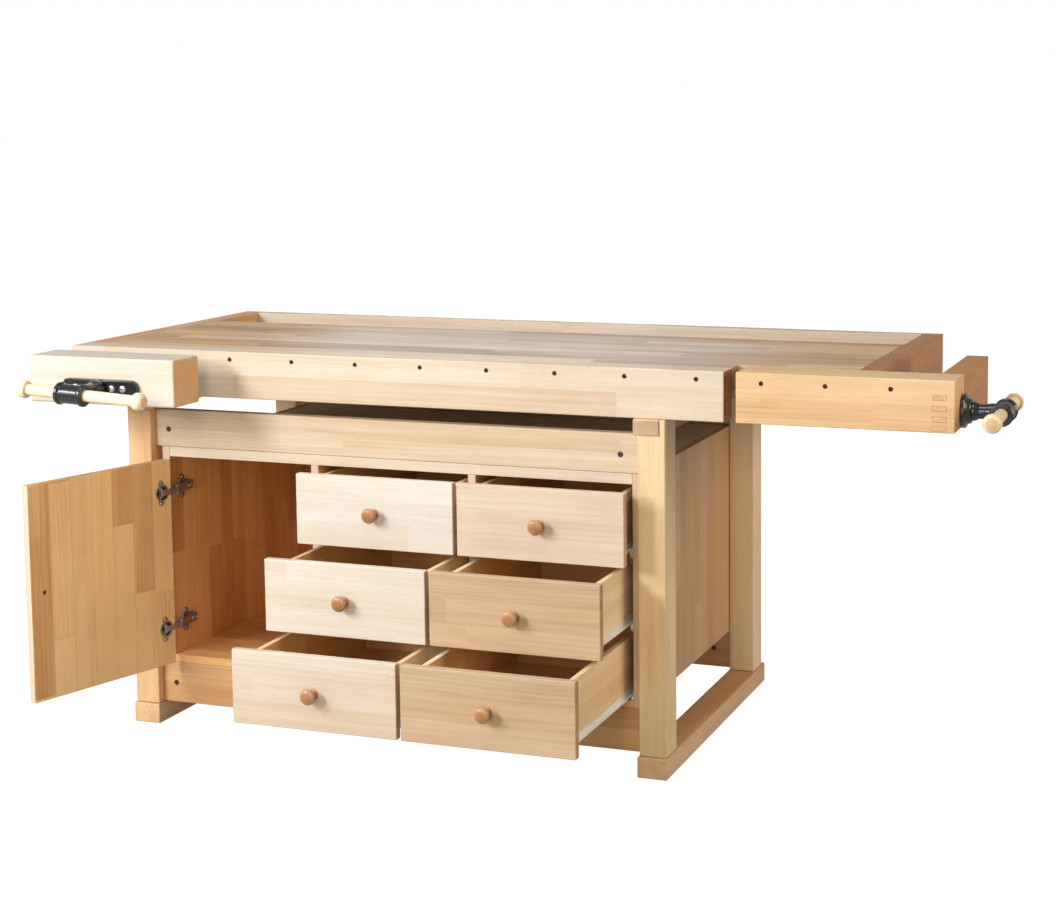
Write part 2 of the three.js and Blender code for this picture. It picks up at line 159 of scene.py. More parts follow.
def lin(r, g, b):
    def f(c):
        c /= 255
        return c / 12.92 if c <= 0.04045 else ((c + 0.055) / 1.055) ** 2.4

    return (f(r), f(g), f(b), 1.0)


def material(name):
    mat = bpy.data.materials.new(name)
    mat.use_nodes = True
    tree = mat.node_tree
    tree.nodes.clear()
    g = Nodes(tree)
    out = g.new("ShaderNodeOutputMaterial")
    bsdf = g.new("ShaderNodeBsdfPrincipled")
    tree.links.new(bsdf.outputs[0], out.inputs[0])
    return mat, g, bsdf


# -------------------------------------------------------------------- materials
def wood(
    name,
    light,
    dark,
    stave=0.5,
    block=0.42,
    line=0.3,
    streak=0.95,
    ring=0.16,
    pore=0.28,
    rough=0.42,
    coat=0.10,
    spec=0.38,
    bump=0.15,
    blotch=0.55,
    fibre=0.22,
    warm=(1.0, 0.94, 0.85),
    end=(0.82, 0.69, 0.54),
    gain=(1.0, 1.0, 1.0),
    painted_sheen=0.0,
):
    """Laminated wood.  gc holds the place in a board: along the grain, across
    the staves and through the thickness, in metres."""
    mat, g, bsdf = material(name)
    u, v, w = g.split(g.attr("gc").outputs["Vector"])
    # staves across the board, each made of blocks joined end to end
    across = g.m("DIVIDE", v, SW)
    rowi = g.m("FLOOR", across)
    fv = g.sub(across, rowi)
    r1 = g.white1(rowi)
    along = g.mad(u, 1.0 / block, g.mul(r1, 17.3))
    blk = g.m("FLOOR", along)
    fu = g.sub(along, blk)
    ra, rb, rc = g.split(g.white3(g.xyz(rowi, blk, 3.7)))
    # grain that wanders a little along the board
    warp = g.sub(
        g.noise(g.xyz(g.mad(u, 1.5, g.mul(ra, 40.0)), g.mul(v, 9.0), g.mul(w, 9.0)), 1.0, 2.0),
        0.5,
    )
    v2 = g.mad(warp, 0.011, v)
    w2 = g.mad(warp, 0.006, w)
    # growth rings round a pith line that lies off the stave
    pv = g.add(g.mul(g.sub(fv, 0.5), SW), g.mad(warp, 0.030, g.mul(g.sub(ra, 0.5), 0.15)))
    pw = g.add(w, g.mad(rb, 0.06, 0.014))
    rr = g.m("SQRT", g.add(g.mul(pv, pv), g.mul(pw, pw)))
    wave = g.noise(g.xyz(g.mul(u, 2.6), g.mul(v, 26.0), g.mul(w, 26.0)), 1.0, 2.0)
    rings = g.mad(g.m("SINE", g.mad(rr, TAU * 120, g.mul(wave, 9.0))), 0.5, 0.5)
    rings = g.mul(rings, g.ramp(wave, 0.30, 0.62))
    # streaks, fibres, pores and cloudy patches
    st = g.noise(
        g.xyz(g.mad(u, 1.9, g.mul(rc, 60.0)), g.mad(v2, 42.0, g.mul(ra, 90.0)), g.mul(w2, 42.0)),
        1.0,
        4.0,
        0.58,
        0.35,
    )
    fib = g.noise(
        g.xyz(g.mul(u, 8.0), g.mul(v2, 430.0), g.mul(w2, 430.0)), 1.0, 2.0, 0.6
    )
    por = g.ramp(
        g.noise(g.xyz(g.mul(u, 42.0), g.mul(v2, 1100.0), g.mul(w2, 1100.0)), 1.0, 1.0),
        0.60,
        0.74,
    )
    cloud = g.noise(g.xyz(g.mul(u, 2.6), g.mul(v, 9.0), g.mul(w, 9.0)), 1.0, 3.0, 0.55, 0.6)
    t = g.mad(g.sub(st, 0.5), streak, 0.42)
    t = g.mad(g.sub(rings, 0.5), ring, t)
    t = g.mad(g.sub(fib, 0.5), fibre, t)
    t = g.mad(g.sub(rc, 0.5), stave, t)
    t = g.mad(g.sub(cloud, 0.5), blotch, t)
    t = g.m("MINIMUM", g.m("MAXIMUM", t, 0.0), 1.0)
    light = tuple(c * k for c, k in zip(lin(*light), gain)) + (1.0,)
    dark = tuple(c * k for c, k in zip(lin(*dark), gain)) + (1.0,)
    col = g.mix(t, light, dark)
    col = g.mix(g.mul(rb, 0.8), col, (*warm, 1.0), "MULTIPLY")
    col = g.mix(g.mul(por, pore), col, (0.62, 0.47, 0.34, 1.0), "MULTIPLY")
    if painted_sheen:
        # painted reflection: the middle of the board's length is painted greyer than its ends, standing in for the
        # sheen of the bright surroundings
        far = g.noise(g.xyz(g.mul(u, 1.4), g.mul(v, 4.0), g.mul(w, 2.0)), 1.0, 3.0, 0.5, 0.6)
        mid = g.ramp(g.m("ABSOLUTE", g.sub(u, 0.95)), 0.25, 0.80, 1.0, 0.0)
        sheen_mask = g.mul(g.ramp(g.mad(mid, 0.45, far), 0.45, 0.95), painted_sheen)
        col = g.mix(sheen_mask, col, g.mix(t, lin(222, 212, 203), lin(168, 156, 146)))
    # glue lines between staves, and toothed end joints
    side = g.mul(g.m("MINIMUM", fv, g.sub(1.0, fv)), SW)
    glue = g.ramp(side, 0.0002, 0.0007, 1.0, 0.0)
    tooth = g.mul(g.m("PINGPONG", g.mul(fv, SW), 0.0035), 2.2)
    joint = g.m("ABSOLUTE", g.sub(g.mul(fu, block), g.add(tooth, 0.002)))
    glue = g.m("MAXIMUM", glue, g.ramp(joint, 0.0003, 0.0009, 0.8, 0.0))
    col = g.mix(g.mul(glue, line), col, (0.52, 0.38, 0.26, 1.0), "MULTIPLY")
    # end grain drinks more lacquer, and the eased edges are a little worn; the end tint also carries painted light on
    # the feet's ends and painted shade on the right beam's ends
    eg = g.attr("eg").outputs["Fac"]
    col = g.mix(eg, col, (*end, 1.0), "MULTIPLY")
    ed = g.attr("ed").outputs["Fac"]
    worn = g.mul(ed, g.ramp(g.noise(g.xyz(g.mul(u, 30.0), g.mul(v, 30.0), g.mul(w, 30.0)), 1.0, 3.0), 0.35, 0.7))
    col = g.mix(g.mul(worn, 0.35), col, (0.80, 0.68, 0.55, 1.0), "MULTIPLY")
    g.put(bsdf.inputs["Base Color"], col)
    rg = g.mad(g.sub(fib, 0.5), 0.16, g.mad(g.sub(cloud, 0.5), 0.18, rough))
    rg = g.mad(por, 0.10, rg)
    g.put(bsdf.inputs["Roughness"], g.mad(eg, 0.12, rg))
    h = g.mad(por, -0.7, g.mad(fib, 0.5, g.mad(rings, 0.12, g.mul(glue, -0.6))))
    g.put(bsdf.inputs["Normal"], g.bump(h, bump, 0.0004))
    bsdf.inputs["Specular IOR Level"].default_value = spec
    bsdf.inputs["Coat Weight"].default_value = coat
    bsdf.inputs["Coat Roughness"].default_value = 0.42
    return mat


def metal(name, base, worn, metallic, rough, spread, scale, bump=0.05, coat=0.0, spec=0.5, wear=0.5):
    """Painted or plated metal with a mottled gloss and a trace of wear."""
    mat, g, bsdf = material(name)
    p = g.attr("gc").outputs["Vector"]
    n1 = g.noise(p, scale, 4.0, 0.6)
    n2 = g.noise(p, scale * 7.0, 2.0, 0.6)
    edge = g.attr("ed").outputs["Fac"]
    amount = g.m("MAXIMUM", g.ramp(n1, 0.52, 0.78), g.mul(edge, g.ramp(n2, 0.40, 0.62)))
    g.put(bsdf.inputs["Base Color"], g.mix(g.mul(amount, wear), base, worn))
    g.put(bsdf.inputs["Roughness"], g.mad(g.sub(n1, 0.5), spread, g.mad(g.sub(n2, 0.5), spread * 0.6, rough)))
    g.put(bsdf.inputs["Normal"], g.bump(g.mad(n1, 0.5, n2), bump, 0.0006))
    bsdf.inputs["Metallic"].default_value = metallic
    bsdf.inputs["Specular IOR Level"].default_value = spec
    bsdf.inputs["Coat Weight"].default_value = coat
    bsdf.inputs["Coat Roughness"].default_value = 0.18
    return mat


PALE = wood("pale_laminated", (243, 224, 196), (212, 176, 134), stave=0.30, block=0.9, line=0.16, gain=(0.775, 0.845, 0.95), end=(0.86, 0.64, 0.45))
# painted light: a whiter, bluer copy of the pale wood for the brightly lit jaw front
JAW = wood("jaw_laminated", (243, 226, 202), (216, 184, 146), stave=0.25, block=0.9, line=0.14, gain=(0.80, 0.90, 1.06), end=(0.97, 0.66, 0.40))
RAIL = wood("rail_laminated", (241, 220, 188), (208, 170, 126), stave=0.30, block=0.9, line=0.16, gain=(0.785, 0.835, 0.925))
# painted shade: a darker copy of the rail wood for the back rail
BACK = wood("back_rail_laminated", (241, 220, 192), (208, 170, 130), stave=0.30, block=0.9, line=0.16, gain=(0.66, 0.72, 0.82))
BLOND = wood("blond_laminated", (236, 204, 160), (194, 148, 100), stave=0.30, block=3.0, line=0.18, gain=(1.0, 1.02, 1.04), end=(0.93, 0.87, 0.79))
# painted light: the feet's end faces are brighter than their long grain, for their lit front ends
FOOT = wood("foot_laminated", (236, 206, 166), (196, 152, 106), stave=0.35, block=0.8, line=0.18, gain=(0.94, 0.94, 0.94), end=(1.05, 1.04, 1.04))
# painted light: a brighter copy of the leg wood for the right front leg, which lies in the drawers' shade
POST = wood("post_laminated", (238, 212, 172), (200, 158, 112), stave=0.30, block=3.0, line=0.18, gain=(1.04, 1.14, 1.20), end=(0.93, 0.87, 0.79))
# painted shade: a copy of the right leg's wood whose end faces are darkened for the shade under the apron
BEAM = wood("beam_laminated", (238, 212, 172), (200, 158, 112), stave=0.30, block=3.0, line=0.18, gain=(1.04, 1.14, 1.20), end=(0.66, 0.60, 0.66))
# painted light: a brighter copy of the rail wood for the rear legs, which lie in shade
REAR = wood("rear_post_laminated", (241, 220, 188), (208, 170, 126), stave=0.30, block=3.0, line=0.16, gain=(1.02, 1.07, 1.10))
HONEY = wood("honey_laminated", (232, 196, 150), (186, 138, 92), stave=0.35, block=0.8, line=0.2, gain=(0.90, 0.82, 0.74))
# painted shade: this dark brown stands for shade on faces turned from the light (the apron's right end, the beam
# flanks, the end boards' outer faces); the end boards are also a darker wood than the rest
BROWN_SHADE = wood("brown_and_painted_shade", (226, 190, 146), (176, 128, 84), stave=0.40, block=0.8, line=0.2, gain=(0.64, 0.485, 0.30), end=(0.95, 0.90, 0.82))
# the worktop's greyer middle is a painted reflection of its bright surroundings
TOPW = wood(
    "worktop_laminated", (206, 180, 148), (150, 118, 86), stave=0.70, block=0.62,
    line=0.30, rough=0.54, coat=0.05, streak=1.3, blotch=0.7, gain=(1.08, 1.06, 1.02), painted_sheen=0.8,
)
CAB = wood("cabinet_laminated", (222, 180, 132), (176, 124, 76), stave=0.6, block=0.5, line=0.3, gain=(1.05, 0.95, 0.80))
PANEL = wood("side_panel_laminated", (218, 182, 142), (176, 130, 90), stave=0.35, block=0.7, line=0.22, gain=(0.92, 0.92, 0.90))
# painted light: a brightened copy of the door wood for the door's inner face, which stands in shade
DOORW = wood("door_laminated", (226, 182, 128), (178, 122, 70), stave=0.95, block=0.34, line=0.4, gain=(1.16, 1.30, 1.42))
DRAW = wood("drawer_front_laminated", (242, 222, 196), (212, 174, 134), stave=0.30, block=0.8, line=0.14, gain=(0.78, 0.86, 0.98))
# painted light and shade: a paler, bluer copy of the drawer-front wood for the brightly lit left fronts, and a darker
# copy for the right column's lower fronts
DRAW_LIT = wood("drawer_front_pale", (244, 228, 206), (220, 190, 156), stave=0.25, block=0.8, line=0.12, gain=(0.79, 0.92, 1.10))
DRAW_SHADED = wood("drawer_front_warm", (238, 212, 180), (198, 156, 114), stave=0.35, block=0.8, line=0.16, gain=(0.72, 0.74, 0.76))
BOXW = wood("drawer_box_laminated", (236, 206, 166), (200, 156, 108), stave=0.5, block=0.6, line=0.3, gain=(1.14, 1.27, 1.42))
# painted shade: a darker, warmer copy of the drawer-box wood for the boxes' inner faces
BOXIN_SHADE = wood("drawer_inside_laminated", (228, 190, 142), (188, 140, 92), stave=0.5, block=0.6, line=0.3, gain=(1.12, 1.22, 1.28))
KNOB = wood("turned_knob", (200, 164, 124), (150, 110, 74), stave=0.4, block=40.0, line=0.0, rough=0.34, coat=0.25, gain=(0.96, 0.90, 0.82))
HAND = wood("turned_handle", (244, 230, 206), (220, 190, 152), stave=0.3, block=40.0, line=0.0, rough=0.36, coat=0.25)
IRON = metal("black_enamel", (0.008, 0.0085, 0.010, 1), (0.030, 0.030, 0.031, 1), 0.0, 0.30, 0.10, 40.0, bump=0.025, coat=0.6, spec=0.35)
STEEL = metal("bright_steel", (0.66, 0.66, 0.67, 1), (0.46, 0.45, 0.44, 1), 1.0, 0.26, 0.14, 90.0)
THREADS = metal("screw_steel", (0.20, 0.20, 0.21, 1), (0.32, 0.31, 0.30, 1), 1.0, 0.34, 0.2, 120.0)
NICKEL = metal("nickel_plate", (0.42, 0.42, 0.42, 1), (0.16, 0.16, 0.16, 1), 0.92, 0.25, 0.16, 140.0)
WHITE = metal("white_paint", (0.80, 0.80, 0.78, 1), (0.58, 0.57, 0.54, 1), 0.0, 0.36, 0.14, 60.0, wear=0.35)
DARK = metal("dark_screw", (0.060, 0.052, 0.046, 1), (0.14, 0.12, 0.10, 1), 0.6, 0.42, 0.2, 200.0)


# -------------------------------------------------------------------- geometry
class Geo:
    """Vertices in bench millimetres, faces, grain coordinates and material slots."""

    def __init__(self):
        self.v, self.g, self.f, self.e, self.d, self.m = [], [], [], [], [], []

    def add(self, bm, grain=None, mat=0, move=None):
        bm.verts.index_update()
        bm.normal_update()
        base = len(self.v)
        co = np.array([v.co[:] for v in bm.verts])
        gc = grain.coords(co) if grain else co / 1000.0
        if move is not None:
            co = np.array([(move @ Vector(c))[:] for c in co])
        self.v.extend(co.tolist())
        self.g.extend(np.asarray(gc).tolist())
        for f in bm.faces:
            self.f.append([v.index + base for v in f.verts])
            n = f.normal
            k = max(range(3), key=lambda i: abs(n[i]))
            flat = abs(n[k]) > 0.985
            self.e.append(1.0 if grain and grain.ends(n) else 0.0)
            self.d.append(0.0 if flat or (grain and grain.round) else 1.0)
            self.m.append(mat(n) if callable(mat) else mat)
        bm.free()
        return self


class Grain:
    """Where a point lies in the wood of one board."""

    def __init__(self, name, lo, hi, axis, rows=None, width=None, start=None):
        self.lo, self.hi = np.array(lo, float), np.array(hi, float)
        self.a = "xyz".index(axis)
        others = [i for i in range(3) if i != self.a]
        size = self.hi - self.lo
        if width:
            self.b = "xyz".index(width)
        else:
            self.b = max(others, key=lambda i: size[i])
        self.c = [i for i in others if i != self.b][0]
        self.rows = rows or max(1, round(size[self.b] / 52.0))
        r = random.Random("grain " + name)
        self.u0 = r.uniform(0, 9) if start is None else start
        self.k = r.randint(3, 900)
        self.w0 = r.uniform(-0.02, 0.02)
        self.round = False

    def coords(self, co):
        size = self.hi - self.lo
        u = (co[:, self.a] - self.lo[self.a]) / 1000 + self.u0
        t = (co[:, self.b] - self.lo[self.b]) / size[self.b]
        v = (t * (self.rows - 0.08) + 0.04 + self.k) * SW
        w = (co[:, self.c] - (self.lo + self.hi)[self.c] / 2) / 1000 + self.w0
        return np.stack([u, v, w], 1)

    def ends(self, n):
        return abs(n[self.a]) > 0.8


class Turned(Grain):
    """The same for a turned piece: grain along its axis, one stave."""

    def __init__(self, name, at, axis):
        self.at = np.array(at, float)
        self.a = "xyz".index(axis)
        self.b, self.c = [i for i in range(3) if i != self.a]
        r = random.Random("turned " + name)
        self.u0, self.k, self.w0 = r.uniform(0, 9), r.randint(3, 900), r.uniform(-0.02, 0.02)
        self.round = True

    def coords(self, co):
        p = (co - self.at) / 1000
        return np.stack(
            [p[:, self.a] + self.u0, p[:, self.b] + (self.k + 0.5) * SW, p[:, self.c] + self.w0], 1
        )

    def ends(self, n):
        return abs(n[self.a]) > 0.93


def block(lo, hi, r=1.5, seg=3):
    """A board with eased edges."""
    bm = bmesh.new()
    bmesh.ops.create_cube(bm, size=1.0)
    for v in bm.verts:
        v.co = [lo[i] if v.co[i] < 0 else hi[i] for i in range(3)]
    if r:
        bmesh.ops.bevel(
            bm, geom=bm.edges[:], offset=r, segments=seg, profile=0.5, affect="EDGES", clamp_overlap=True
        )
    return bm


def prism(outline, axis, a, b, r=0.0, seg=3):
    """An outline pushed along an axis from a to b, with eased rims."""
    k = "xyz".index(axis)
    others = [i for i in range(3) if i != k]
    bm = bmesh.new()
    rings = []
    for d in (a, b):
        ring = []
        for p in outline:
            c = [0.0, 0.0, 0.0]
            c[k] = d
            c[others[0]], c[others[1]] = p
            ring.append(bm.verts.new(c))
        rings.append(ring)
    n = len(outline)
    bm.faces.new(rings[0])
    bm.faces.new(rings[1][::-1])
    for i in range(n):
        bm.faces.new((rings[0][i], rings[1][i], rings[1][(i + 1) % n], rings[0][(i + 1) % n]))
    bmesh.ops.recalc_face_normals(bm, faces=bm.faces[:])
    if r:
        rim = [e for e in bm.edges if len({round(v.co[k], 4) for v in e.verts}) == 1]
        bmesh.ops.bevel(bm, geom=rim, offset=r, segments=seg, profile=0.5, affect="EDGES", clamp_overlap=True)
    return bm


def slotted(length, height, n=10):
    """A flat outline with round ends, centred on 0."""
    r = height / 2
    s = length / 2 - r
    pts = []
    for k in range(n + 1):
        t = -math.pi / 2 + math.pi * k / n
        pts.append((s + r * math.cos(t), r * math.sin(t)))
    for k in range(n + 1):
        t = math.pi / 2 + math.pi * k / n
        pts.append((-s + r * math.cos(t), r * math.sin(t)))
    return pts


def rounded(points, steps=4):
    """A polyline of (distance, radius, fillet) with its corners filleted."""
    out = []
    n = len(points)
    for i, p in enumerate(points):
        f = p[2] if len(p) > 2 else 0
        if i in (0, n - 1) or not f:
            out.append((p[0], p[1]))
            continue
        c = Vector(p[:2])
        a, b = Vector(points[i - 1][:2]) - c, Vector(points[i + 1][:2]) - c
        la, lb = a.length, b.length
        a.normalize()
        b.normalize()
        ang = a.angle(b)
        if ang > 3.1:
            out.append((p[0], p[1]))
            continue
        t = min(f / math.tan(ang / 2), la * 0.49, lb * 0.49)
        rad = t * math.tan(ang / 2)
        o = c + (a + b).normalized() * (rad / math.sin(ang / 2))
        s, e = c + a * t - o, c + b * t - o
        a0, a1 = math.atan2(s.y, s.x), math.atan2(e.y, e.x)
        d = (a1 - a0 + math.pi) % TAU - math.pi
        for k in range(steps + 1):
            q = a0 + d * k / steps
            out.append((o.x + rad * math.cos(q), o.y + rad * math.sin(q)))
    return out


def curve(points, per=5):
    """A smooth curve through (distance, radius) points."""
    out = []
    p = [Vector(q) for q in points]
    for i in range(len(p) - 1):
        a, b, c, d = p[max(i - 1, 0)], p[i], p[i + 1], p[min(i + 2, len(p) - 1)]
        for k in range(per):
            t = k / per
            q = 0.5 * (2 * b + (c - a) * t + (2 * a - 5 * b + 4 * c - d) * t * t + (3 * b - a - 3 * c + d) * t**3)
            out.append((q.x, max(q.y, 0.0)))
    out.append(tuple(p[-1]))
    return out


def lathe(profile, at, axis, sides=40, loop=False):
    """A turned body.  The profile is (distance along the axis, radius)."""
    k = "xyz".index(axis)
    o1, o2 = [i for i in range(3) if i != k]
    bm = bmesh.new()
    rings = []
    for d, r in profile:
        if r < 1e-4:
            c = list(at)
            c[k] += d
            rings.append([bm.verts.new(c)])
            continue
        ring = []
        for j in range(sides):
            q = TAU * (j + 0.5) / sides
            c = list(at)
            c[k] += d
            c[o1] += r * math.cos(q)
            c[o2] += r * math.sin(q)
            ring.append(bm.verts.new(c))
        rings.append(ring)
    pairs = list(zip(rings, rings[1:]))
    if loop:
        pairs.append((rings[-1], rings[0]))
    for a, b in pairs:
        for j in range(sides):
            i = (j + 1) % sides
            if len(a) == 1 and len(b) == 1:
                break
            if len(a) == 1:
                bm.faces.new((a[0], b[j], b[i]))
            elif len(b) == 1:
                bm.faces.new((a[j], b[0], a[i]))
            else:
                bm.faces.new((a[j], b[j], b[i], a[i]))
    if not loop:
        for ring in (rings[0], rings[-1]):
            if len(ring) > 1:
                bm.faces.new(ring)
    bmesh.ops.recalc_face_normals(bm, faces=bm.faces[:])
    return bm


def bore(at, axis, a, b, r, mouth=0.0, sides=32):
    """A cutter for a round hole, with an eased mouth at a."""
    s = 1 if b > a else -1
    if mouth:
        prof = [(a - s * 2, 0), (a - s * 2, r + mouth), (a, r + mouth), (a + s * mouth, r), (b, r), (b, 0)]
    else:
        prof = [(a, 0), (a, r), (b, r), (b, 0)]
    return lathe(prof, at, axis, sides)


def temp(bm):
    me = bpy.data.meshes.new("temp")
    bm.to_mesh(me)
    bm.free()
    ob = bpy.data.objects.new("temp", me)
    bpy.context.scene.collection.objects.link(ob)
    return ob


def carve(bm, tools, op="DIFFERENCE"):
    """A body with some holes cut in it."""
    one = bmesh.new()
    for t in tools:
        me = bpy.data.meshes.new("tool")
        t.to_mesh(me)
        t.free()
        one.from_mesh(me)
        bpy.data.meshes.remove(me)
    a, b = temp(bm), temp(one)
    mod = a.modifiers.new("cut", "BOOLEAN")
    mod.operation = op
    mod.solver = "EXACT"
    mod.use_self = len(tools) > 1  # the tools may run into one another
    mod.object = b
    dg = bpy.context.evaluated_depsgraph_get()
    me = bpy.data.meshes.new_from_object(a.evaluated_get(dg))
    out = bmesh.new()
    out.from_mesh(me)
    for ob in (a, b):
        old = ob.data
        bpy.data.objects.remove(ob)
        bpy.data.meshes.remove(old)
    bpy.data.meshes.remove(me)
    return out


def copy_of(bm):
    return bm.copy()


def piece(name, geo, body, mats, node=None):
    co = (np.array(geo.v) - SHIFT) / 1000.0
    me = bpy.data.meshes.new(name)
    me.from_pydata(co.tolist(), [], geo.f)
    for m in mats if isinstance(mats, (list, tuple)) else [mats]:
        me.materials.append(m)
    me.polygons.foreach_set("material_index", geo.m)
    me.polygons.foreach_set("use_smooth", [True] * len(geo.f))
    me.attributes.new("gc", "FLOAT_VECTOR", "POINT").data.foreach_set(
        "vector", np.array(geo.g, dtype=np.float32).ravel()
    )
    me.attributes.new("eg", "FLOAT", "FACE").data.foreach_set("value", np.array(geo.e, dtype=np.float32))
    me.attributes.new("ed", "FLOAT", "FACE").data.foreach_set("value", np.array(geo.d, dtype=np.float32))
    me.update()
    me.set_sharp_from_angle(angle=math.radians(52))
    ob = bpy.data.objects.new(name, me)
    bpy.context.scene.collection.objects.link(ob)
    wn = ob.modifiers.new("normals", "WEIGHTED_NORMAL")
    wn.mode = "FACE_AREA"
    wn.weight = 50
    wn.keep_sharp = True
    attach(ob, body)
    if node:
        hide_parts(*([node] if isinstance(node, str) else node))
    return ob


def plank(node, lo, hi, axis, mat, body="root", r=1.5, rows=None, width=None, cuts=(), name=None, start=None, pick=0):
    g = Geo()
    bm = block(lo, hi, r)
    if cuts:
        bm = carve(bm, cuts)
    g.add(bm, Grain(node, lo, hi, axis, rows, width, start), pick)
    return piece(name or node + "_wood", g, body, mat, node)


def head(r, h, cross=True, sides=28):
    """A pan screw head on the origin, its face towards -Y, with a cross recess."""
    bm = lathe(
        curve([(0.0, r), (-h * 0.45, r * 0.96), (-h * 0.8, r * 0.72), (-h, r * 0.30), (-h * 1.02, 0.0)], 3),
        (0, 0, 0),
        "y",
        sides,
    )
    if cross:
        a, b = r * 0.58, r * 0.15
        plus = [(b, -a), (b, -b), (a, -b), (a, b), (b, b), (b, a), (-b, a), (-b, b), (-a, b), (-a, -b), (-b, -b), (-b, -a)]
        bm = carve(bm, [prism(plus, "y", -h * 1.6, -h * 0.35)])
    return bm


HEAD = head(1.0, 0.55)


def screw_head(geo, at, r, toward="-y", mat=0):
    """Adds a screw head of radius r at a point, facing a way."""
    turn = {
        "-y": Matrix.Identity(3),
        "+y": Matrix.Rotation(math.pi, 3, "Z"),
        "+x": Matrix.Rotation(math.pi / 2, 3, "Z"),
        "-x": Matrix.Rotation(-math.pi / 2, 3, "Z"),
        "+z": Matrix.Rotation(-math.pi / 2, 3, "X"),
        "-z": Matrix.Rotation(math.pi / 2, 3, "X"),
    }[toward]
    spin = random.Random(str(at)).uniform(0, 90)
    m = (
        Matrix.Translation(Vector(at))
        @ (turn @ Matrix.Rotation(math.radians(spin), 3, "Y")).to_4x4()
        @ Matrix.Scale(r, 4)
    )
    bm = HEAD.copy()
    bm.transform(m)
    geo.add(bm, None, mat)


# ------------------------------------------------------------------------- top
DOTS = [100.8 + 154.3 * k for k in range(10)]
TAIL_DOTS = [1625.7, 1757.5, 1889.2]
DOT_Z = {"apron": 842.0, "tail": 838.5}

slab = [(46.3, 60.3), (1547.7, 60.3), (1547.7, 108.0), (1803.7, 108.0), (1803.7, 545.0), (46.3, 545.0)]
g = Geo()
g.add(prism(slab, "z", 810, 860, 0.7, 2), Grain("top_slab", (46.3, 60.3, 810), (1803.7, 545, 860), "x", 10, start=0.0))
piece("top_slab_wood", g, "root", TOPW, "top_slab")

VX, VZ, VY = 196, 795, -280  # front screw and its hub
TY, TZ, TX = 80, 790, 2098  # tail screw and its hub
cuts = [bore((VX, 0, VZ), "y", 0, 70, 14.6, 1.2)]
cuts += [bore((VX + d, 0, VZ), "y", 0, 70, 10.8, 1.0) for d in (-120, 120)]
cuts += [bore((x, 0, DOT_Z["apron"]), "y", 0, 9, 4.9, 0.5, 24) for x in DOTS]


def right_end(n):
    """The apron's right end is painted dark brown, as painted shade in the gap before the tail block."""
    return 1 if n[0] > 0.9 else 0


plank("front_apron", (0, 0, 756), (1547.7, 60, 860), "x", [PALE, BROWN_SHADE], r=2.2, rows=2, cuts=cuts, pick=right_end)
plank("left_end_board", (0, 60.3, 756), (46, 775, 860), "y", HONEY, r=2.0, rows=2)
cuts = [bore((0, 330, TZ), "x", 1850, 1790, 10.8, 1.0)]
plank("right_end_board", (1804, 108, 756), (1850, 775, 860), "y", BROWN_SHADE, r=2.0, rows=2, cuts=cuts)
plank("back_rail", (46.3, 750, 756), (1803.7, 775, 860), "x", BACK, r=1.6, rows=2)
plank("tray_bottom", (46.3, 545.3, 800), (1803.7, 749.7, 812), "x", TOPW, r=0.6, rows=4, start=0.0)

# recessed screw heads along the apron
g = Geo()
for x in DOTS:
    screw_head(g, (x, 6.0, DOT_Z["apron"]), 4.6)
piece("apron_screws", g, "root", DARK)

# ------------------------------------------------------------------------ base
def flank(n):
    """The beams' flanks are painted brown, as painted shade in the dark space under the top beside the legs."""
    return 1 if abs(n[0]) > 0.5 else 0


for side, x0, outer in (("left", 148, -1), ("right", 1366, 1)):
    x1 = x0 + 60
    ox = x0 if outer < 0 else x1
    plank(f"{side}_foot", (x0 - 3, -16, 0), (x1 + 3, 740, 45), "y", FOOT, r=3.0, rows=1)
    # the beam lies in a notch of both legs, inside their outer cheeks
    b0, b1 = (x0 + 12, x1 + 10) if outer < 0 else (x0 - 10, x1 - 12)
    # painted light: the right front leg and the rear legs take brighter copies of the leg wood, for legs that stand in
    # shade
    for end, y, mat in (("front", -10, BLOND if outer < 0 else POST), ("rear", 650, REAR)):
        n0, n1 = b0 - 0.3, b1 + 0.3
        notch = prism([(n0, 722.2), (n1, 722.2), (n1, 770), (n0, 770)], "y", y - 8, y + 78)
        plank(f"{end}_{side}_leg", (x0, y, 45.3), (x1, y + 70, 755.7), "z", mat, r=3.0, rows=1, cuts=[notch])
    # painted shade: the right beam's front end is darkened for the shade under the apron, and the flanks take the
    # painted-shade brown
    ends = [BLOND if outer < 0 else BEAM, BROWN_SHADE]
    plank(f"{side}_top_beam", (b0, -12, 722.5), (b1, 735, 755.7), "y", ends, r=3.0, rows=1, pick=flank)

NUT_Z = {"top": 677.0, "bottom": 92.0}


def nuts_x(side, level):
    """No barrel nut shows at the right end of the front bottom rail."""
    return (241.7,) if (side, level) == ("front", "bottom") else (241.7, 1322.0)


for side, y0 in (("front", 10), ("rear", 664)):
    for level, z0, z1, mat, slot in (
        ("top", 638, 722, RAIL, "pale_wood"),
        ("bottom", 47, 140.7, HONEY, "blond_wood"),
    ):
        cuts = [bore((x, 0, NUT_Z[level]), "y", y0, y0 + 15, 6.2, 0.4, 24) for x in nuts_x(side, level)]
        plank(
            f"{side}_{level}_rail", (208.3, y0, z0), (1365.7, y0 + 26, z1), "x", mat, r=2.0, rows=2, cuts=cuts,
        )

# barrel nuts in the rail ends
g = Geo()
for side, y0 in (("front", 10), ("rear", 664)):
    for level, z in NUT_Z.items():
        for x in nuts_x(side, level):
            b = lathe(rounded([(1.0, 0), (1.0, 5.6, 0.8), (12, 5.6), (12, 0)]), (x, y0, z), "y", 24)
            b = carve(b, [block((x - 4.6, y0 - 3, z - 0.7), (x + 4.6, y0 + 3.0, z + 0.7), 0)])
            g.add(b)
piece("barrel_nuts", g, "root", DARK)

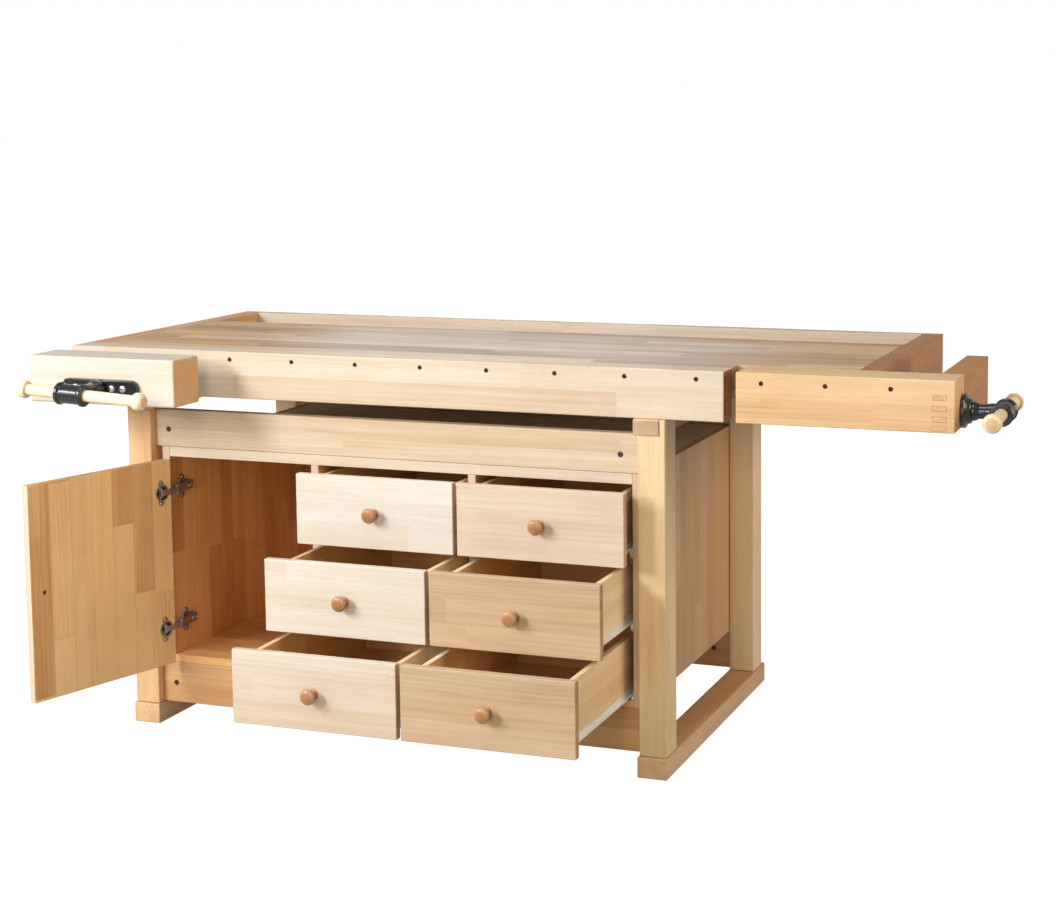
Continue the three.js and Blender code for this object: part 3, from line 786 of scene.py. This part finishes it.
# --------------------------------------------------------------------- cabinet
def lipped(n):
    """The front edges of the upright boards carry a pale lipping."""
    return 1 if n[1] < -0.5 else 0


def capped(n):
    """The right side's front edge carries the pale lipping, and its top edge is painted pale as a painted highlight.
    """
    return 1 if n[1] < -0.5 or n[2] > 0.5 else 0


plank("cabinet_left_side", (224, 10, 141), (242, 690, 637.7), "z", [CAB, PALE], r=0.8, pick=lipped)
plank("cabinet_right_side", (1347.7, 10, 141), (1365.4, 690, 637.7), "z", [PANEL, RAIL], r=0.8, pick=capped)
plank("cabinet_top", (242.3, 10, 615.5), (1347.4, 690, 637.7), "x", PALE, r=0.8)
# shallow channels in the bottom board give the lowest slides room to run
cuts = [block((a, 5, 156), (b, 575, 170), 0) for a, b in ((620.5, 643.5), (950.5, 973.5), (996.5, 1019.5), (1322, 1345))]
plank("cabinet_bottom", (242.3, 10, 141), (1347.4, 690, 158.7), "x", CAB, r=0.8, cuts=cuts)
plank("cabinet_back", (242.3, 678, 159.3), (1347.4, 690, 615.2), "z", CAB, r=0.5)
plank("door_divider", (600, 10, 159.3), (618, 677.7, 615.2), "z", [CAB, PALE], r=0.8, pick=lipped)
plank("drawer_divider", (976, 10, 159.3), (994, 677.7, 615.2), "z", [CAB, PALE], r=0.8, pick=lipped)

# ----------------------------------------------------------------- turned knob
KNOB_PROFILE = curve(
    [
        (0.0, 11.2), (-1.6, 11.0), (-3.6, 9.2), (-6.8, 7.6), (-10.5, 7.3), (-13.8, 9.0), (-16.6, 12.6),
        (-19.4, 15.6), (-22.2, 16.5), (-25.2, 15.8), (-27.8, 13.0), (-29.5, 8.6), (-30.2, 4.2), (-30.4, 0.0),
    ],
    4,
)


def knob(name, at, body, node, move=None):
    g = Geo()
    g.add(lathe([(0.0, 0.0)] + KNOB_PROFILE, at, "y", 48), Turned(name, at, "y"), 0, move)
    piece(name, g, body, KNOB, node)


# ------------------------------------------------------------------------ door
# Built closed, then turned about its pivot to where it stands open.
PIVOT = Vector((234, -14, 0))
SWING = Matrix.Translation(PIVOT) @ Matrix.Rotation(math.radians(-107), 4, "Z") @ Matrix.Translation(-PIVOT)
CUP_X, CUPS = 251.0, (540.0, 230.0)
INNER = 8.3

lo, hi = (227, -9.7, 147), (607, 8.3, 613.5)
bm = carve(
    block(lo, hi, 1.6),
    [bore((CUP_X, 0, z), "y", INNER, INNER - 12, 17.8, 0.3, 40) for z in CUPS]
    + [bore((573, 0, 380), "y", INNER, INNER - 5, 4.8, 0.6, 24)],
)
g = Geo()
# painted light and shade: the inner face takes its own orange wood, brightened against the shade on it, and the edges
# are painted pale as a painted highlight; the outer face takes the drawer-front wood
g.add(bm, Grain("door_panel", lo, hi, "z", 7), lambda n: 0 if n[1] > 0.5 else 2 if n[1] < -0.5 else 1, SWING)
piece("door_panel_wood", g, "door", [DOORW, PALE, DRAW], "door_panel")
knob("door_knob_turned", (573, -10.0, 380), "door", "door_knob", SWING)
g = Geo()
b = HEAD.copy()
b.transform(Matrix.Translation((573, INNER - 2.2, 380)) @ Matrix.Rotation(math.pi, 4, "Z") @ Matrix.Scale(4.4, 4))
g.add(b, None, 0, SWING)
piece("door_knob_screw", g, "door", DARK)

for which, z in zip(("upper", "lower"), CUPS):
    g = Geo()
    ring = rounded(
        [(-11.7, 0), (-11.7, 17.3, 1.5), (0.35, 17.3), (0.35, 18.9, 0.3), (1.3, 18.9, 0.5), (1.3, 15.6, 0.4), (-10.2, 15.6, 2.0), (-10.2, 0)],
        3,
    )
    g.add(lathe(ring, (CUP_X, INNER, z), "y", 48), None, 0, SWING)
    # wings of the cup with two screws
    wing = [(x + CUP_X + 4.0, y + z) for y, x in slotted(58, 16, 8)]
    wing = carve(prism(wing, "y", INNER + 0.12, INNER + 1.25, 0.35, 2), [bore((CUP_X, 0, z), "y", INNER - 3, INNER + 5, 17.2)])
    g.add(wing, None, 0, SWING)
    for dz in (-23.5, 23.5):
        b = HEAD.copy()
        b.transform(
            Matrix.Translation((CUP_X + 4.0, INNER + 1.2, z + dz)) @ Matrix.Rotation(math.pi, 4, "Z") @ Matrix.Scale(3.9, 4)
        )
        g.add(b, None, 0, SWING)
    # the pin across the cup
    g.add(lathe(rounded([(-15.4, 0), (-15.4, 2.4, 0.4), (15.4, 2.4, 0.4), (15.4, 0)], 2), (CUP_X + 3, INNER - 4.5, z), "z", 20), None, 0, SWING)
    piece(f"{which}_hinge_cup_plated", g, "door", NICKEL, f"{which}_hinge_cup")

    # plate and arm on the cabinet side
    g = Geo()
    g.add(prism([(a + 62, b + z) for a, b in slotted(52, 26, 8)], "x", 242.12, 245.2, 0.6, 2))
    g.add(prism([(b + 54, a + z) for a, b in slotted(56, 22, 8)], "x", 242.12, 244.2, 0.6, 2))
    for dz in (-20.5, 20.5):
        screw_head(g, (244.1, 54, z + dz), 4.4, "+x")
    arm = [
        (88, 244.4), (88, 251.6), (84, 254.6), (44, 256.4), (30, 258.4), (18, 260.6), (11.5, 259.8),
        (10.6, 256.6), (14, 252.6), (26, 250.4), (40, 248.6), (52, 247.4), (56, 244.4),
    ]
    g.add(prism([(x, y) for y, x in arm], "z", z - 10.0, z + 10.0, 1.6, 3))
    screw_head(g, (255.6, 66, z), 4.2, "+x")
    screw_head(g, (255.0, 78, z), 3.6, "+x")
    piece(f"{which}_hinge_arm", g, "root", NICKEL, None)

    # link between the arm and the cup: a pressed steel bow on two pins
    g = Geo()
    link = [
        (24, 253.0), (20, 250.6), (8, 248.6), (-10, 246.4), (-30, 243.4), (-37, 242.8), (-42.2, 245.6), (-43.0, 251.0),
        (-38, 254.4), (-28, 255.4), (-10, 257.8), (8, 259.2), (20, 259.2), (24, 257.4),
    ]
    g.add(prism([(x, y) for y, x in link], "z", z - 7.0, z + 7.0, 1.3, 3))
    for x, y in ((255.0, 17.0), (249.2, -36.8)):
        g.add(lathe(rounded([(-9.4, 0), (-9.4, 3.0, 0.6), (9.4, 3.0, 0.6), (9.4, 0)], 2), (x, y, z), "z", 20))
    ob = piece(f"{which}_hinge_link", g, "root", NICKEL, None)
    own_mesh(ob)

# --------------------------------------------------------------------- drawers
COLUMNS = {"left": ((611, 980), (631, 963), (618, 976)), "right": ((988.5, 1360), (1007, 1334.5), (994, 1347.7))}
ROWS = (((459, 613), 70), ((303.5, 457.5), 211), ((148, 302), 350))

# the paler left fronts and the darker right fronts are painted light and painted shade, for the light falling off to
# the right
FRONTS = {"left": (DRAW_LIT, DRAW_LIT, DRAW), "right": (DRAW, DRAW_SHADED, DRAW_SHADED)}

cab_slides = Geo()
cab_rollers = Geo()
for i, ((z0, z1), out) in enumerate(ROWS):
    for side, ((fx0, fx1), (bx0, bx1), (wx0, wx1)) in COLUMNS.items():
        name = f"drawer_{i + 1}_{side}"
        y = -8.3 - out
        plank(
            name + "_front", (fx0, y, z0), (fx1, y + 18, z1), "x", FRONTS[side][i], name, r=2.4, rows=3,
        )
        knob(name + "_knob_turned", ((fx0 + fx1) / 2, y - 0.3, (z0 + z1) / 2), name, name + "_knob")
        zb, zt = z0 + 11, z1 - 15
        ya, yb = y + 18.3, y + 538
        g = Geo()
        for tag, lo, hi, axis, inner in (
            ("l", (bx0, ya, zb), (bx0 + 12, yb, zt), "y", (1, 0, 0)),
            ("r", (bx1 - 12, ya, zb), (bx1, yb, zt), "y", (-1, 0, 0)),
            ("f", (bx0 + 12.1, ya, zb), (bx1 - 12.1, ya + 12, zt), "x", (0, 1, 0)),
            ("b", (bx0 + 12.1, yb - 12, zb), (bx1 - 12.1, yb, zt), "x", (0, -1, 0)),
            ("d", (bx0 + 12.1, ya + 12.1, zb + 1), (bx1 - 12.1, yb - 12.1, zb + 8), "x", (0, 0, 1)),
        ):
            # the inner faces are painted darker and warmer, as painted shade inside the box
            inside = lambda n, d=Vector(inner): 1 if Vector(n).dot(d) > 0.5 else 0
            g.add(block(lo, hi, 1.0 if tag != "d" else 0.3, 2), Grain(name + tag, lo, hi, axis, 2 if tag != "d" else 6), inside)
        piece(name + "_box_wood", g, name, [BOXW, BOXIN_SHADE], name + "_box")

        # slides: a lipped angle under each drawer side, with a roller at its
        # rear, running in a channel on the cabinet with a roller at its front
        g = Geo()
        rollers = Geo()
        for s, edge, wall in ((-1, bx0, wx0), (1, bx1, wx1)):
            ang = [
                (edge - s * 11, zb - 1.6), (edge + s * 1.5, zb - 1.6), (edge + s * 1.5, zb + 5.0), (edge + s * 7.5, zb + 5.0),
                (edge + s * 7.5, zb + 6.2), (edge + s * 1.5, zb + 6.2), (edge + s * 1.5, zb + 17), (edge + s * 0.3, zb + 17),
                (edge + s * 0.3, zb - 0.3), (edge - s * 11, zb - 0.3),
            ]
            if s > 0:
                ang = ang[::-1]
            g.add(prism(ang, "y", ya + 2, yb - 14, 0.25, 1))
            rollers.add(
                lathe(rounded([(-3.4, 0), (-3.4, 8.6, 1.0), (3.4, 8.6, 1.0), (3.4, 0)], 3), (edge + s * 5.2, yb - 8, zb + 6.4), "x", 28)
            )
            for k in (60, 260, 460):
                screw_head(g, (edge + s * 1.5, ya + k, zb + 11.5), 3.0, "-x" if s < 0 else "+x")
            w = wall - s * 0.2
            chan = [
                (w, zb - 7), (w, zb + 22), (w - s * 6.5, zb + 22), (w - s * 6.5, zb + 20.8), (w - s * 1.3, zb + 20.8),
                (w - s * 1.3, zb - 4.4), (w - s * 8.0, zb - 4.4), (w - s * 8.0, zb - 5.8), (w - s * 1.3, zb - 5.8), (w - s * 1.3, zb - 7),
            ]
            if s < 0:
                chan = chan[::-1]
            cab_slides.add(prism(chan, "y", 30, 560, 0.25, 1))
            tab = [(12, zb - 11), (40, zb - 11), (46, zb - 2), (46, zb + 12), (12, zb + 12)]
            a, b = sorted((w, w - s * 1.3))
            cab_slides.add(prism(tab, "x", a, b, 0.3, 1))
            cab_rollers.add(
                lathe(rounded([(-2.6, 0), (-2.6, 8.2, 1.0), (2.6, 8.2, 1.0), (2.6, 0)], 3), (w - s * 4.6, 21, zb - 3.4), "x", 28)
            )
        piece(name + "_slides", g, name, WHITE)
        piece(name + "_slide_rollers", rollers, name, WHITE)
piece("cabinet_slides", cab_slides, "root", WHITE)
piece("cabinet_slide_rollers", cab_rollers, "root", WHITE)


# ----------------------------------------------------------------- vise pieces
def handle(name, at, axis, body, node, move=None):
    half = [
        (12.5, 0.0), (12.5, 40.0), (12.3, 90.0), (12.1, 116.0), (12.0, 128.0), (12.1, 130.6), (13.4, 132.0), (16.4, 132.6),
        (18.4, 134.6), (19.0, 138.5), (19.0, 143.0), (18.2, 147.6), (16.0, 151.6), (12.0, 154.4), (6.0, 155.7), (0.0, 156.0),
    ]
    right = curve([(d, r) for r, d in half], 4)
    left = [(-d, r) for d, r in right[::-1]]
    g = Geo()
    g.add(lathe(left[:-1] + right, at, axis, 48), Turned(name, at, axis), 0, move)
    piece(name, g, body, HAND, node)


def thread(a, b, at, axis, root, crest, lead=6.0, sides=28, per=10):
    """A screw with a trapezoid thread from a to b."""
    k = "xyz".index(axis)
    o1, o2 = [i for i in range(3) if i != k]
    bm = bmesh.new()
    n = int(abs(b - a) / lead * per)
    rings = []
    for i in range(n + 1):
        d = a + (b - a) * i / n
        fade = min(1.0, i / per, (n - i) / per)
        ring = []
        for j in range(sides):
            q = TAU * j / sides
            ph = (abs(d - a) / lead - j / sides) % 1.0
            t = abs(ph - 0.5) * 2
            hgt = max(0.0, min(1.0, (t - 0.30) / 0.34))
            r = root + (crest - root) * hgt * fade
            c = list(at)
            c[k] += d
            c[o1] += r * math.cos(q)
            c[o2] += r * math.sin(q)
            ring.append(bm.verts.new(c))
        rings.append(ring)
    for p, q in zip(rings, rings[1:]):
        for j in range(sides):
            i = (j + 1) % sides
            bm.faces.new((p[j], q[j], q[i], p[i]))
    bm.faces.new(rings[0])
    bm.faces.new(rings[-1])
    bmesh.ops.recalc_face_normals(bm, faces=bm.faces[:])
    return bm


def hub(g, at, screw_axis, sleeve_axis, way, shoulder, move=None):
    """The cast T hub: a sleeve for the handle and a neck down to the shoulder.
    way is +1 or -1 from the hub towards the shoulder along the screw axis."""
    rim = rounded(
        [
            (-33, 13.8), (-33, 22.4, 2.0), (-30.4, 24.0, 1.5), (-25.5, 24.0, 2.0), (-22, 20.6, 3.4), (22, 20.6, 3.4),
            (25.5, 24.0, 2.0), (30.4, 24.0, 1.5), (33, 22.4, 2.0), (33, 13.8, 0.8),
        ],
        4,
    )
    g.add(lathe(rim, at, sleeve_axis, 48, loop=True), None, 0, move)
    s = way
    neck = rounded(
        [
            (s * 15.2, 0), (s * 15.2, 16.5), (s * 19, 17.6, 3.0), (s * 25, 17.2, 4.0), (s * 36, 14.8, 8.0), (s * (shoulder - 14), 14.8, 6.0),
            (s * (shoulder - 9), 17.8, 2.4), (s * (shoulder - 5.4), 19.0, 1.5), (s * (shoulder - 1.2), 19.0, 1.2), (s * shoulder, 17.8, 0.5), (s * shoulder, 0),
        ],
        4,
    )
    g.add(lathe(neck, at, screw_axis, 48), None, 0, move)


# ------------------------------------------------------------------ front vise
jaw_lo, jaw_hi = (12, -173, 757), (376, -73, 860)
cuts = [
    bore((VX, 0, VZ), "y", -73, -83, 23.0, 0.8),
    bore((VX, 0, VZ), "y", -82, -180, 14.6),
    bore((VX - 120, 0, VZ), "y", -73, -143.5, 10.4, 0.8),
    bore((VX + 120, 0, VZ), "y", -73, -143.5, 10.4, 0.8),
]
plank("front_jaw", jaw_lo, jaw_hi, "x", JAW, "front_jaw", r=4.0, rows=2, cuts=cuts)

FLANGE_SCREWS = [VX + d for d in (-59.3, -31.7, 31.7, 59.3)]
g = Geo()
plate = [(x + VX, z + VZ) for x, z in slotted(191, 38, 14)]
bm = prism(plate, "y", -173.3, -183.0, 1.8, 3)
bm = carve(bm, [bore((VX, 0, VZ), "y", -165, -190, 15.0)] + [bore((x, 0, VZ), "y", -183, -178, 5.0, 0.6, 24) for x in FLANGE_SCREWS])
g.add(bm)
boss = rounded(
    [(-181.0, 15.0), (-181.0, 20.0), (-183.4, 19.4, 0.6), (-186.2, 18.6, 2.0), (-193.6, 18.2, 1.2), (-195.0, 17.0, 0.6), (-195.0, 15.0, 0.4)], 4
)
g.add(lathe(boss, (VX, 0, VZ), "y", 48, loop=True))
# stiffening ribs along the arms
for s in (-1, 1):
    rib = [(VX + s * 14, -182.6), (VX + s * 88, -182.6), (VX + s * 82, -184.6), (VX + s * 40, -187.6), (VX + s * 14, -190.8)]
    rib = rib if s > 0 else rib[::-1]
    for dz in (-15.6, 15.6):
        g.add(prism(rib, "z", VZ + dz - 2.2, VZ + dz + 2.2, 0.8, 2))
piece("front_flange_cast", g, "front_jaw", IRON, "front_flange")

g = Geo()
for x in FLANGE_SCREWS:
    screw_head(g, (x, -182.9, VZ), 8.2)
piece("front_flange_screws", g, "front_jaw", STEEL, None)

for side, x in (("left", VX - 120), ("right", VX + 120)):
    g = Geo()
    g.add(lathe(rounded([(-143, 0), (-143, 10, 1.0), (226, 10, 0.4), (230, 8.4, 0.6), (230, 0)], 3), (x, 0, VZ), "y", 40))
    piece(f"front_guide_{side}_rod", g, "front_jaw", STEEL, f"front_guide_{side}")

# the handle hangs with its right end a little lower
AXIS = Matrix.Translation((VX, 0, VZ))
TILT = AXIS @ Matrix.Rotation(math.radians(3), 4, "Y") @ AXIS.inverted()
g = Geo()
hub(g, (VX, VY, VZ), "y", "x", 1, -195.3 - VY, TILT)
piece("front_screw_hub", g, "front_screw", IRON, "front_screw")
g = Geo()
g.add(lathe(rounded([(-196, 0), (-196, 13.0), (-50, 13.0, 0.5), (-50, 0)], 2), (VX, 0, VZ), "y", 40))
g.add(lathe(rounded([(-81.9, 12.6), (-81.9, 21.0, 0.8), (-74.1, 21.0, 0.8), (-74.1, 12.6)], 3), (VX, 0, VZ), "y", 40, loop=True))
g.add(thread(-50.2, 192, (VX, 0, VZ), "y", 10.6, 13.0))
g.add(lathe(rounded([(191, 0), (191, 10.5), (198.4, 10.5, 1.2), (200, 8.6, 0.6), (200, 0)], 2), (VX, 0, VZ), "y", 32))
piece("front_screw_thread", g, "front_screw", THREADS, None)
handle("front_handle_turned", (VX + 22, VY, VZ), "x", "front_handle", "front_handle", TILT)

g = Geo()
bm = carve(block((VX - 35, 60.3, 764), (VX + 35, 98, 809.7), 2.2), [bore((VX, 0, VZ), "y", 50, 110, 14.0)])
g.add(bm)
for dx in (-26, 26):
    screw_head(g, (VX + dx, 98, 776), 5.2, "+y")
piece("front_vise_nut_cast", g, "root", IRON, "front_vise_nut")

# ------------------------------------------------------------------- tail vise
# Four tenons of the end board show on the front of the block.  The screw runs
# between the outer two, so the inner two stop in front of it.
TENONS = ((826.0, 103), (804.5, 56), (783.0, 56), (765.0, 103))
lo, hi = (1572.5, 0, 756), (2016, 102, 860)
cuts = [block((1971.7, -5, z - 5.8), (1999.3, y + (7 if y > 100 else 1), z + 5.8), 0) for z, y in TENONS]
cuts += [bore((x, 0, DOT_Z["tail"]), "y", 0, 9, 4.9, 0.5, 24) for x in TAIL_DOTS]
cuts += [block((1690, 56, 764), (1890, 110, 816), 0), bore((0, TY, TZ), "x", 2022, 1885, 14.6)]
plank("tail_jaw_block", lo, hi, "x", BLOND, "tail_jaw", r=2.4, rows=2, cuts=cuts)
g = Geo()
for x in TAIL_DOTS:
    screw_head(g, (x, 6.0, DOT_Z["tail"]), 4.6)
piece("tail_block_screws", g, "tail_jaw", DARK)

lo, hi = (1970, 102.3, 756), (2016, 398, 860)
gr = Grain("tail_end_board", (1970, 0, 756), hi, "y", 2)
g = Geo()
g.add(carve(block(lo, hi, 2.4), [bore((0, 330, TZ), "x", 1970, 1996, 10.3, 0.6)]), gr)
for z, y in TENONS:
    g.add(block((1972, -0.15, z - 5.5), (1999, y, z + 5.5), 0.5, 2), gr, 1)
piece("tail_end_board_wood", g, "tail_jaw", [BROWN_SHADE, BLOND], "tail_end_board")

g = Geo()
fl = rounded(
    [
        (2016.3, 15.0), (2016.3, 34.0), (2023.6, 34.0, 1.8), (2025.8, 31.4, 1.5), (2026.4, 28.0, 1.4), (2029.4, 25.4, 2.0),
        (2034.6, 24.4, 1.4), (2036.0, 22.8, 0.6), (2036.0, 15.0, 0.4),
    ],
    4,
)
g.add(lathe(fl, (0, TY, TZ), "x", 56, loop=True))
piece("tail_flange_cast", g, "tail_jaw", IRON, "tail_flange")

g = Geo()
hub(g, (TX, TY, TZ), "x", "y", -1, 61.7)
piece("tail_screw_hub", g, "tail_screw", IRON, "tail_screw")
g = Geo()
g.add(lathe(rounded([(2037, 0), (2037, 13.0), (1878, 13.0, 0.5), (1878, 0)], 2), (0, TY, TZ), "x", 40))
g.add(lathe(rounded([(1889.7, 12.6), (1889.7, 21.0, 0.8), (1881.7, 21.0, 0.8), (1881.7, 12.6)], 3), (0, TY, TZ), "x", 40, loop=True))
g.add(thread(1878.2, 1708, (0, TY, TZ), "x", 10.6, 13.0))
g.add(lathe(rounded([(1709, 0), (1709, 10.5), (1701.6, 10.5, 1.2), (1700, 8.6, 0.6), (1700, 0)], 2), (0, TY, TZ), "x", 32))
piece("tail_screw_thread", g, "tail_screw", THREADS, None)
handle("tail_handle_turned", (TX, TY, TZ), "y", "tail_handle", "tail_handle")

g = Geo()
g.add(lathe(rounded([(1995, 0), (1995, 10, 0.8), (1694, 10, 0.4), (1690, 8.4, 0.6), (1690, 0)], 3), (0, 330, TZ), "x", 40))
piece("tail_guide_rod", g, "tail_jaw", STEEL, None)

g = Geo()
bm = carve(block((1804.5, 60, 768), (1849.5, 107.7, 812), 2.0), [bore((0, TY, TZ), "x", 1790, 1860, 14.0)])
g.add(bm)
piece("tail_vise_nut_cast", g, "root", IRON, "tail_vise_nut")

HEAD.free()

# ----------------------------------------------------------------- floor, light
scene = bpy.context.scene
me = bpy.data.meshes.new("floor")
R = 60.0
me.from_pydata([(-R, -R, -0.0004), (R, -R, -0.0004), (R, R, -0.0004), (-R, R, -0.0004)], [], [(0, 1, 2, 3)])
mat, n, bsdf = material("pale_floor")
path = n.new("ShaderNodeLightPath")
bsdf.inputs["Base Color"].default_value = (0.24, 0.24, 0.24, 1)
bsdf.inputs["Roughness"].default_value = 0.9
bsdf.inputs["Specular IOR Level"].default_value = 0.0
bsdf.inputs["Emission Color"].default_value = (1, 1, 1, 1)
glow = n.mad(path.outputs["Is Diffuse Ray"], -0.93, n.mad(path.outputs["Is Glossy Ray"], -0.68, 1.0))
n.put(bsdf.inputs["Emission Strength"], glow)
me.materials.append(mat)
floor = bpy.data.objects.new("floor", me)
scene.collection.objects.link(floor)

world = bpy.data.worlds.new("studio")
scene.world = world
world.use_nodes = True
wt = world.node_tree
wt.nodes.clear()
w = Nodes(wt)
out = w.new("ShaderNodeOutputWorld")
bg = w.new("ShaderNodeBackground")
path = w.new("ShaderNodeLightPath")
wt.links.new(bg.outputs[0], out.inputs[0])
tint = w.new("ShaderNodeMix", data_type="RGBA")
w.put(tint.inputs[0], path.outputs["Is Diffuse Ray"])
tint.inputs[6].default_value = (1, 1, 1, 1)
tint.inputs[7].default_value = (1.0, 0.72, 0.45, 1)
w.put(bg.inputs["Color"], tint.outputs[2])
w.put(bg.inputs["Strength"], w.mad(path.outputs["Is Diffuse Ray"], -0.86, w.mad(path.outputs["Is Glossy Ray"], -0.68, 1.0)))


def softbox(name, at, to, size, watts, color=(1, 1, 1)):
    light = bpy.data.lights.new(name, "AREA")
    light.shape = "RECTANGLE"
    light.size, light.size_y = size
    light.energy = watts
    light.color = color
    ob = bpy.data.objects.new(name, light)
    scene.collection.objects.link(ob)
    ob.location = at
    ob.rotation_euler = (Vector(to) - Vector(at)).to_track_quat("-Z", "Y").to_euler()
    ob.visible_camera = False
    return ob


AIM = (0.0, -0.1, 0.55)
softbox("key", (-2.6, -3.2, 2.7), AIM, (0.8, 0.8), 80, (0.97, 1.0, 1.05))
softbox("key_low", (-2.1, -4.0, 1.95), AIM, (0.8, 0.8), 88, (0.97, 1.0, 1.05))
softbox("side", (-3.4, -2.4, 2.0), AIM, (1.6, 1.6), 40)
softbox("front", (0.55, -4.6, 2.1), AIM, (1.2, 1.4), 46, (1.0, 0.88, 0.70))
softbox("low", (0.75, -4.3, 0.7), (0.3, -0.1, 0.25), (1.0, 0.8), 18, (1.0, 0.86, 0.68))
softbox("back", (-2.0, 4.2, 0.75), (0.0, 0.5, 0.5), (1.6, 1.0), 44, (1.0, 0.93, 0.84))
softbox("overhead", (0.0, -1.2, 4.2), AIM, (2.4, 1.4), 60)
softbox("right", (4.0, 0.2, 1.6), AIM, (1.6, 1.6), 74, (1.0, 0.86, 0.70))

# ---------------------------------------------------------------------- camera
cam = bpy.data.cameras.new("camera")
cam.sensor_fit = "HORIZONTAL"
cam.sensor_width = 36.0
cam.lens = 1956.3213 / 1056 * 36
cam.shift_x = -0.100
cam.shift_y = -0.130
cam.clip_end = 200
cam.dof.use_dof = False
yaw, pitch, roll = 0.3385, -0.1064, -0.0063
fwd = Vector((-math.sin(yaw) * math.cos(pitch), math.cos(yaw) * math.cos(pitch), math.sin(pitch)))
rt = Vector((math.cos(yaw), math.sin(yaw), 0))
up = rt.cross(fwd)
r2 = math.cos(roll) * rt + math.sin(roll) * up
u2 = -math.sin(roll) * rt + math.cos(roll) * up
co = bpy.data.objects.new("camera", cam)
scene.collection.objects.link(co)
m = Matrix((r2, u2, -fwd)).transposed().to_4x4()
m.translation = row((2675.1351, -3746.0393, 1393.9746))
co.matrix_world = m
scene.camera = co

scene.view_settings.view_transform = "Standard"
scene.view_settings.look = "None"
scene.view_settings.exposure = 0.0
scene.view_settings.gamma = 1.0

bpy.context.view_layer.update()
